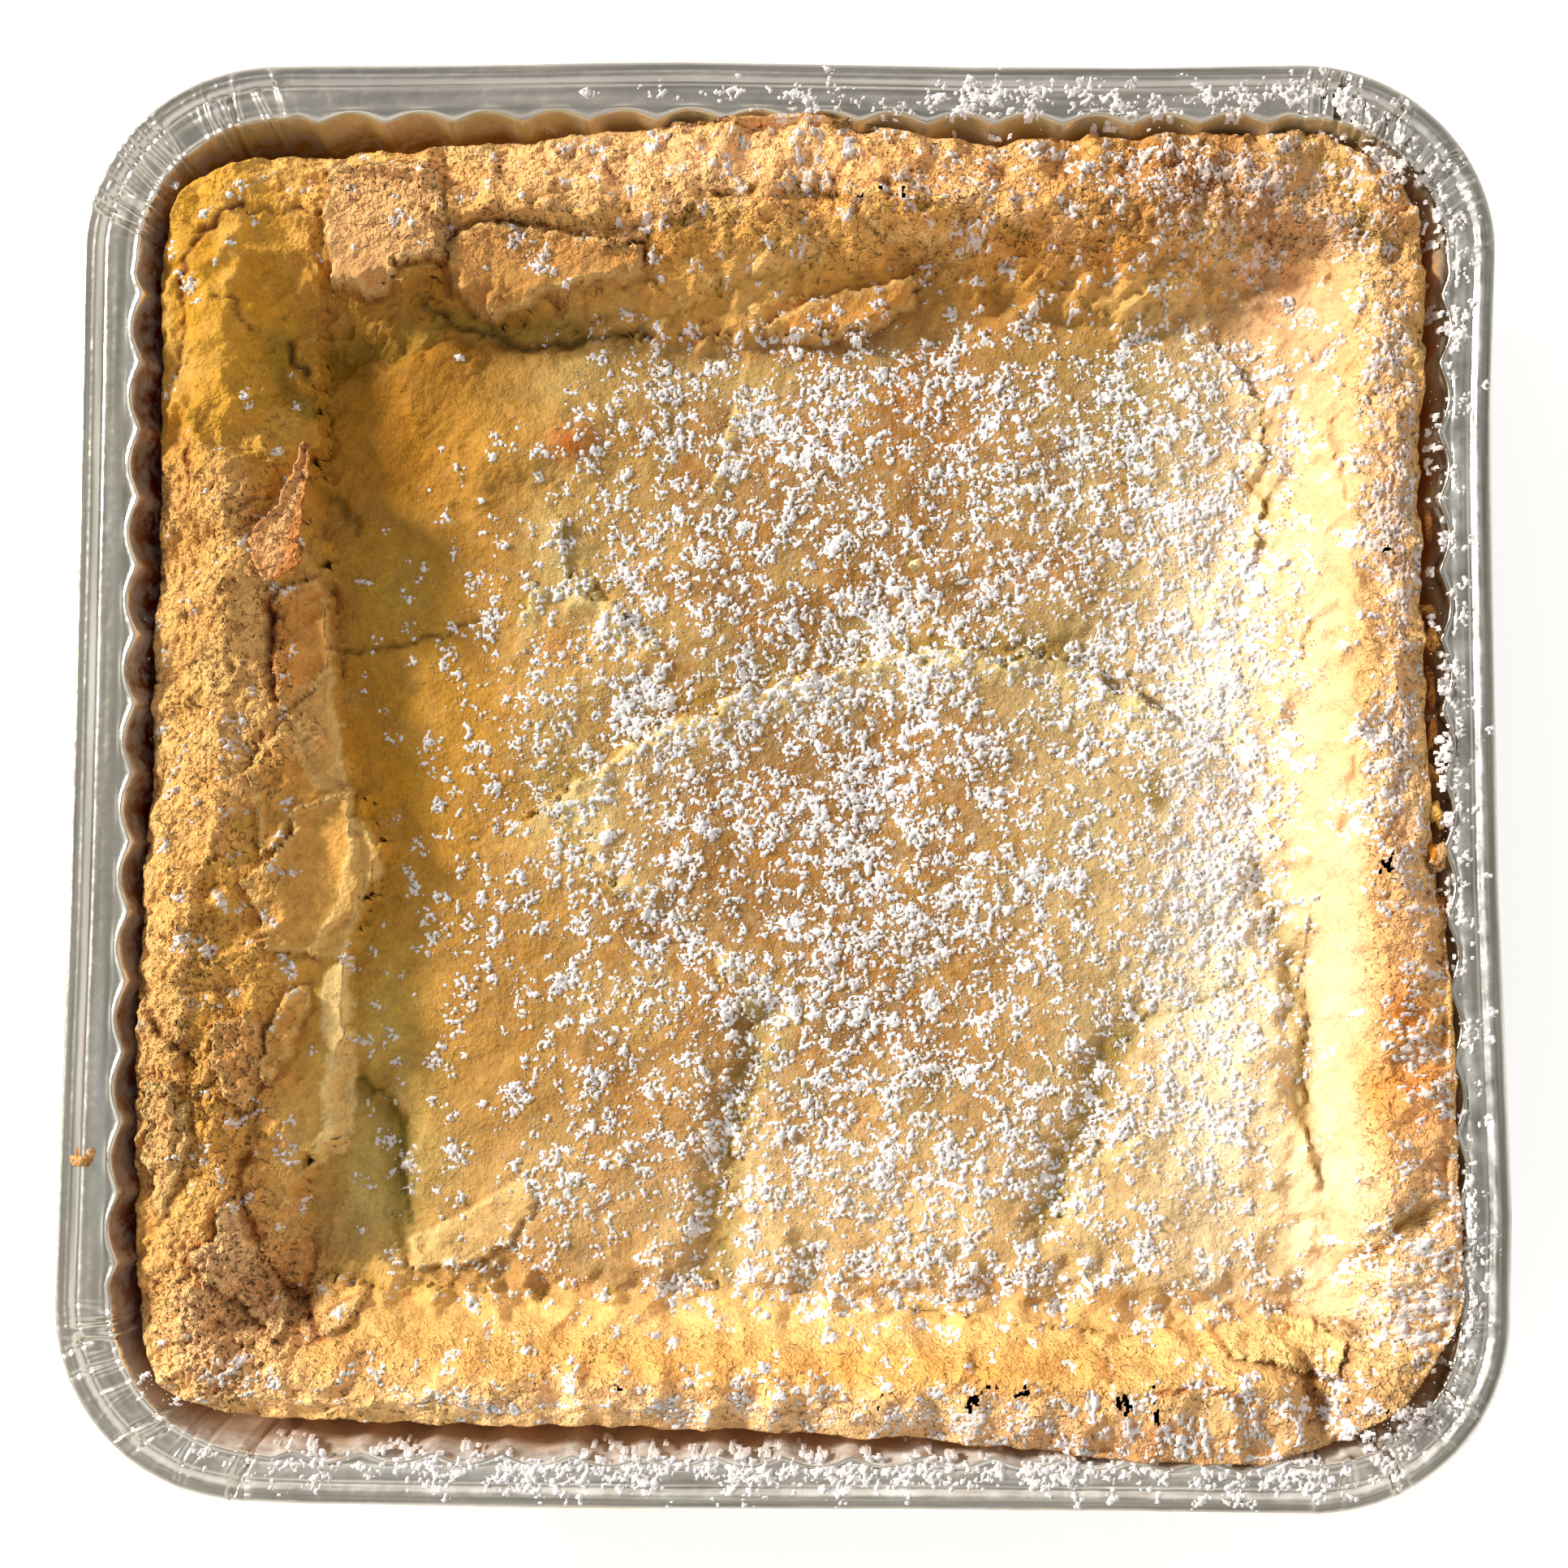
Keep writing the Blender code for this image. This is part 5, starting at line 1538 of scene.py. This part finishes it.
def clump_grains(x, y, usual_size, rng):
    """Grains of clumps of many sizes, one clump at each place: their places, radii and lifts."""
    size = np.exp(rng.normal(usual_size, SIZE_SPREAD, len(x)))
    owner = np.repeat(np.arange(len(x)), 1 + rng.poisson(1.1 * size))
    reach = np.sqrt(size[owner])
    turn = rng.uniform(0.0, math.pi, len(x))[owner]
    along = 0.62 * reach * rng.normal(size=len(owner))
    across = 0.42 * reach * rng.normal(size=len(owner))
    heap_x = x[owner] + along * np.cos(turn) - across * np.sin(turn)
    heap_y = y[owner] + along * np.sin(turn) + across * np.cos(turn)
    heap = np.repeat(np.arange(len(owner)), 1 + rng.poisson(3.0 * reach))
    reach = reach[heap]
    shift_x, shift_y = GRAIN_SCATTER * (0.75 + 0.35 * reach) * rng.normal(size=(2, len(heap)))
    radius = rng.uniform(*GRAIN_RADIUS, len(heap))
    middle = np.exp(-(shift_x**2 + shift_y**2) / 0.25)
    lift = GRAIN_LIFT * middle * rng.uniform(0.2, 1.0, len(heap)) * np.minimum(reach**2, 2.0)
    return heap_x[heap] + shift_x, heap_y[heap] + shift_y, radius, lift


def sugar_field(low, high, grains_there, rng):
    """A jittered grid of places, and how high the grains stand over each; below zero where none do."""
    columns = int((high[0] - low[0]) / SUGAR_PITCH) + 1
    rows = int((high[1] - low[1]) / SUGAR_PITCH) + 1
    row, column = np.mgrid[0:rows, 0:columns]
    x = low[0] + (column + rng.uniform(-0.3, 0.3, (rows, columns))) * SUGAR_PITCH
    y = low[1] + (row + rng.uniform(-0.3, 0.3, (rows, columns))) * SUGAR_PITCH
    grain_x, grain_y, radius, lift = grains_there
    own_column = np.round((grain_x - low[0]) / SUGAR_PITCH).astype(int)
    own_row = np.round((grain_y - low[1]) / SUGAR_PITCH).astype(int)
    height = np.full((rows, columns), -1.0)
    for i in (-1, 0, 1):
        for j in (-1, 0, 1):
            place = (np.clip(own_row + i, 0, rows - 1), np.clip(own_column + j, 0, columns - 1))
            gap = np.hypot(x[place] - grain_x, y[place] - grain_y)
            top = lift + np.sqrt(np.maximum(radius**2 - gap**2, 0.0))
            np.maximum.at(height, place, np.where(gap < radius, top, -1.0))
    return x, y, height


def sugar_sheet(name, points, covered, columns, look, first=0, last=None):
    """Some rows of the sugar's grid as one mesh, where sugar lies."""
    rows = len(covered) // columns
    faces = grid_faces(rows, columns)
    faces = faces[covered[faces].any(axis=1)]
    rank = faces[:, 0] // columns
    faces = faces[(rank >= first) & (rank < (rows if last is None else last))]
    used, renumbered = np.unique(faces, return_inverse=True)
    paint = {"sugar_color": sugar_color(points[used, 0], points[used, 1])}
    made = new_object(name, points[used], renumbered.reshape(faces.shape), look, paint, soft=False)


def make_sugar():
    """Powdered sugar on the cake: rugged clumps of grains, with specks scattered round them."""
    rng = np.random.default_rng(5)
    clump_x, clump_y = clump_places(SUGAR_LOW, SUGAR_HIGH, CLUMP_STEP, sugar_cover, rng)
    x, y, height = sugar_field(SUGAR_LOW, SUGAR_HIGH, clump_grains(clump_x, clump_y, CLUMP_SIZE, rng), rng)
    rows, columns = x.shape
    base = fine_parts(x.ravel(), y.ravel())[0]
    on_cake = wall_distance(x.ravel(), y.ravel()) > 0.5
    covered = (height.ravel() > 0.0) & on_cake
    z = base + np.where(covered, SUGAR_LIFT * height.ravel(), -SUGAR_SINK)
    points = np.stack(settle(x.ravel(), y.ravel(), z), axis=1)
    look = sugar_material("powdered_sugar")
    cuts = np.linspace(0, rows, SUGAR_BANDS + 1).astype(int)
    for band, (first, last) in enumerate(zip(cuts, cuts[1:])):
        sugar_sheet(f"sugar_{band + 1}", points, covered, columns, look, first, last)

    owner = np.repeat(np.arange(len(clump_x)), rng.poisson(SPECKS_PER_CLUMP, len(clump_x)))
    speck_x = clump_x[owner] + rng.normal(size=len(owner)) * CLUMP_STEP
    speck_y = clump_y[owner] + rng.normal(size=len(owner)) * CLUMP_STEP
    column = np.clip(np.round((speck_x - SUGAR_LOW[0]) / SUGAR_PITCH).astype(int), 0, columns - 1)
    row = np.clip(np.round((speck_y - SUGAR_LOW[1]) / SUGAR_PITCH).astype(int), 0, rows - 1)
    under = row * columns + column
    kept = on_cake[under] & ~covered[under]
    radius = rng.uniform(*SPECK_RADIUS, kept.sum())
    speck_z = base[under][kept] + 0.5 * radius
    places = np.stack(settle(speck_x[kept], speck_y[kept], speck_z), axis=1)
    order = rng.permutation(len(places))[:MOST_SPECKS]
    grains("sugar_specks", places[order], radius[order], look, 321)


# Sugar on the foil's flange: middle and reach along each side, and how dense it lies
RIM_SUGAR = [
    (TOP, 44, 42, 0.62),
    (TOP, -16, 16, 0.14),
    (TOP, 82, 14, 0.4),
    (RIGHT, 78, 24, 0.42),
    (RIGHT, -30, 64, 0.25),
    (BOTTOM, 20, 66, 0.9),
    (BOTTOM, -40, 30, 0.6),
    (BOTTOM, 84, 14, 0.5),
]
RIM_GROOVE = 5.0
RIM_SPREAD = 1.7
WALL_DUST = {LEFT: 0.0, RIGHT: 0.03, TOP: 0.05, BOTTOM: 0.14}
BEAD_DUST = 0.05
RIM_SINK = 0.15
RIM_LIMITS = (0.5, 9.6)


def rim_inset(x, y):
    """Distance of each place in from the foil's outer edge, as it bows, and the side it lies on."""
    away_x, away_y = bowed(x, y, PAN_HEIGHT)
    x, y = 2.0 * x - away_x, 2.0 * y - away_y
    past_x = np.abs(x) - (PAN_HALF[0] - CORNER_OUTER)
    past_y = np.abs(y) - (PAN_HALF[1] - CORNER_OUTER)
    beyond = np.hypot(np.maximum(past_x, 0.0), np.maximum(past_y, 0.0))
    beyond += np.minimum(np.maximum(past_x, past_y), 0.0)
    upright = past_x > past_y
    side = np.where(upright, np.where(x > 0.0, RIGHT, LEFT), np.where(y > 0.0, TOP, BOTTOM))
    return CORNER_OUTER - beyond, side, np.where(upright, y, x)


def rim_cover(x, y):
    """Share of the foil's flange that sugar covers."""
    inset, side, along = rim_inset(x, y)
    cover = np.zeros(np.shape(x))
    for where, middle, reach, share in RIM_SUGAR:
        there = share * np.exp(-(((along - middle) / reach) ** 4))
        cover = np.where(side == where, 1.0 - (1.0 - cover) * (1.0 - there), cover)
    wall_dust = np.choose(side, [WALL_DUST[number] for number in (LEFT, RIGHT, TOP, BOTTOM)])
    across = np.exp(-(((inset - RIM_GROOVE) / RIM_SPREAD) ** 2)) + wall_dust * smooth((inset - 5.0) / 2.0)
    across = across + BEAD_DUST
    patches = 0.7 + 0.9 * fractal(x, y, 7.0, 231, layers=2)
    return np.clip(cover * across * patches, 0.0, 0.95) * (inset > RIM_LIMITS[0]) * (inset < RIM_LIMITS[1])


def make_rim_sugar():
    """Sugar that fell on the foil's flange, thick in the groove beside the bead."""
    rng = np.random.default_rng(15)
    low = (-PAN_HALF[0] - 1.0, -PAN_HALF[1] - 1.0)
    high = (PAN_HALF[0] + 1.0, PAN_HALF[1] + 1.0)
    clump_x, clump_y = clump_places(low, high, RIM_CLUMP_STEP, rim_cover, rng)
    x, y, height = sugar_field(low, high, clump_grains(clump_x, clump_y, RIM_CLUMP_SIZE, rng), rng)
    columns = x.shape[1]
    x, y, height = x.ravel(), y.ravel(), height.ravel()
    inset, _, _ = rim_inset(x, y)
    covered = (height > 0.0) & (inset > RIM_LIMITS[0]) & (inset < RIM_LIMITS[1])
    z = rim_height(inset) + np.where(covered, height, -RIM_SINK)
    points = np.stack([x, y, z], axis=1)
    look = sugar_material("powdered_sugar_on_foil")
    sugar_sheet("sugar_on_rim", points, covered, columns, look)


FLOOR_GLOW = 0.55
FLOOR_COLOR = (0.90, 0.90, 0.90, 1.0)
FLOOR_REACH = 3000.0 * MM
FLOOR_DROP = -0.05 * MM


def make_floor():
    """A plain pale floor that glows faintly, so that the shadow on it stays light."""
    mesh = bpy.data.meshes.new("floor")
    corners = [(x, y, FLOOR_DROP) for x, y in ((-1, -1), (1, -1), (1, 1), (-1, 1))]
    mesh.from_pydata([(x * FLOOR_REACH, y * FLOOR_REACH, z) for x, y, z in corners], [], [(0, 1, 2, 3)])
    look = Look("floor", Roughness=0.8, Specular_IOR_Level=0.2, Base_Color=FLOOR_COLOR,
                Emission_Color=(1.0, 1.0, 1.0, 1.0), Emission_Strength=FLOOR_GLOW)
    mesh.materials.append(look.material)
    add_to_scene("floor", mesh)


# Light and camera
KEY_ELEVATION = 30.0
KEY_AZIMUTH = 157.0
KEY_STRENGTH = 4.4
KEY_COLOR = (1.0, 0.96, 0.88)
KEY_SOFTNESS = 10.0
SKY = [(0.0, (0.90, 0.89, 0.86)), (0.62, (0.76, 0.75, 0.72))]
SKY += [(0.86, (0.44, 0.435, 0.415)), (1.0, (0.33, 0.33, 0.315))]
SKY_STRENGTH = 1.0
CAMERA_EYE = (6.92, -39.97, 464.25)
CAMERA_RIGHT = (0.99986, 0.00657, -0.01523)
CAMERA_UP = (-0.0052, 0.99604, 0.08878)
CAMERA_BACK = (0.01575, -0.08869, 0.99593)
CAMERA_LENS = 69.034
CAMERA_SENSOR = 36.0


def make_light():
    """A soft key light from the far left, and a sky that is bright at its sides and dim overhead."""
    lamp = bpy.data.lights.new("key_light", "SUN")
    lamp.energy = KEY_STRENGTH
    lamp.color = KEY_COLOR
    lamp.angle = math.radians(KEY_SOFTNESS)
    key = add_to_scene("key_light", lamp)
    key.rotation_euler = (0.0, math.radians(90.0 - KEY_ELEVATION), math.radians(KEY_AZIMUTH))

    world = bpy.data.worlds.new("studio")
    bpy.context.scene.world = world
    world.use_nodes = True
    nodes, links = world.node_tree.nodes, world.node_tree.links
    where = nodes.new("ShaderNodeTexCoord")
    split = nodes.new("ShaderNodeSeparateXYZ")
    links.new(where.outputs["Generated"], split.inputs["Vector"])
    ramp = nodes.new("ShaderNodeValToRGB")
    stops = ramp.color_ramp.elements
    while len(stops) < len(SKY):
        stops.new(1.0)
    for stop, (position, color) in zip(stops, SKY):
        stop.position = position
        stop.color = (*color, 1.0)
    links.new(split.outputs["Z"], ramp.inputs["Fac"])
    links.new(ramp.outputs["Color"], nodes["Background"].inputs["Color"])
    nodes["Background"].inputs["Strength"].default_value = SKY_STRENGTH


def make_camera():
    """The photo's camera: nearly straight above, tilted a little towards the far side."""
    lens = bpy.data.cameras.new("camera")
    lens.lens = CAMERA_LENS
    lens.sensor_width = CAMERA_SENSOR
    lens.clip_start = 0.01
    camera = add_to_scene("camera", lens)
    axes = Matrix((CAMERA_RIGHT, CAMERA_UP, CAMERA_BACK)).transposed()
    camera.matrix_world = Matrix.Translation([length * MM for length in CAMERA_EYE]) @ axes.to_4x4()
    bpy.context.scene.camera = camera


make_camera()
make_light()
make_floor()
make_pan()
cake_look = make_cake()
make_loose_bits(cake_look)
make_shard(cake_look)
make_sugar()
make_rim_sugar()
bpy.context.scene.view_settings.view_transform = "Standard"
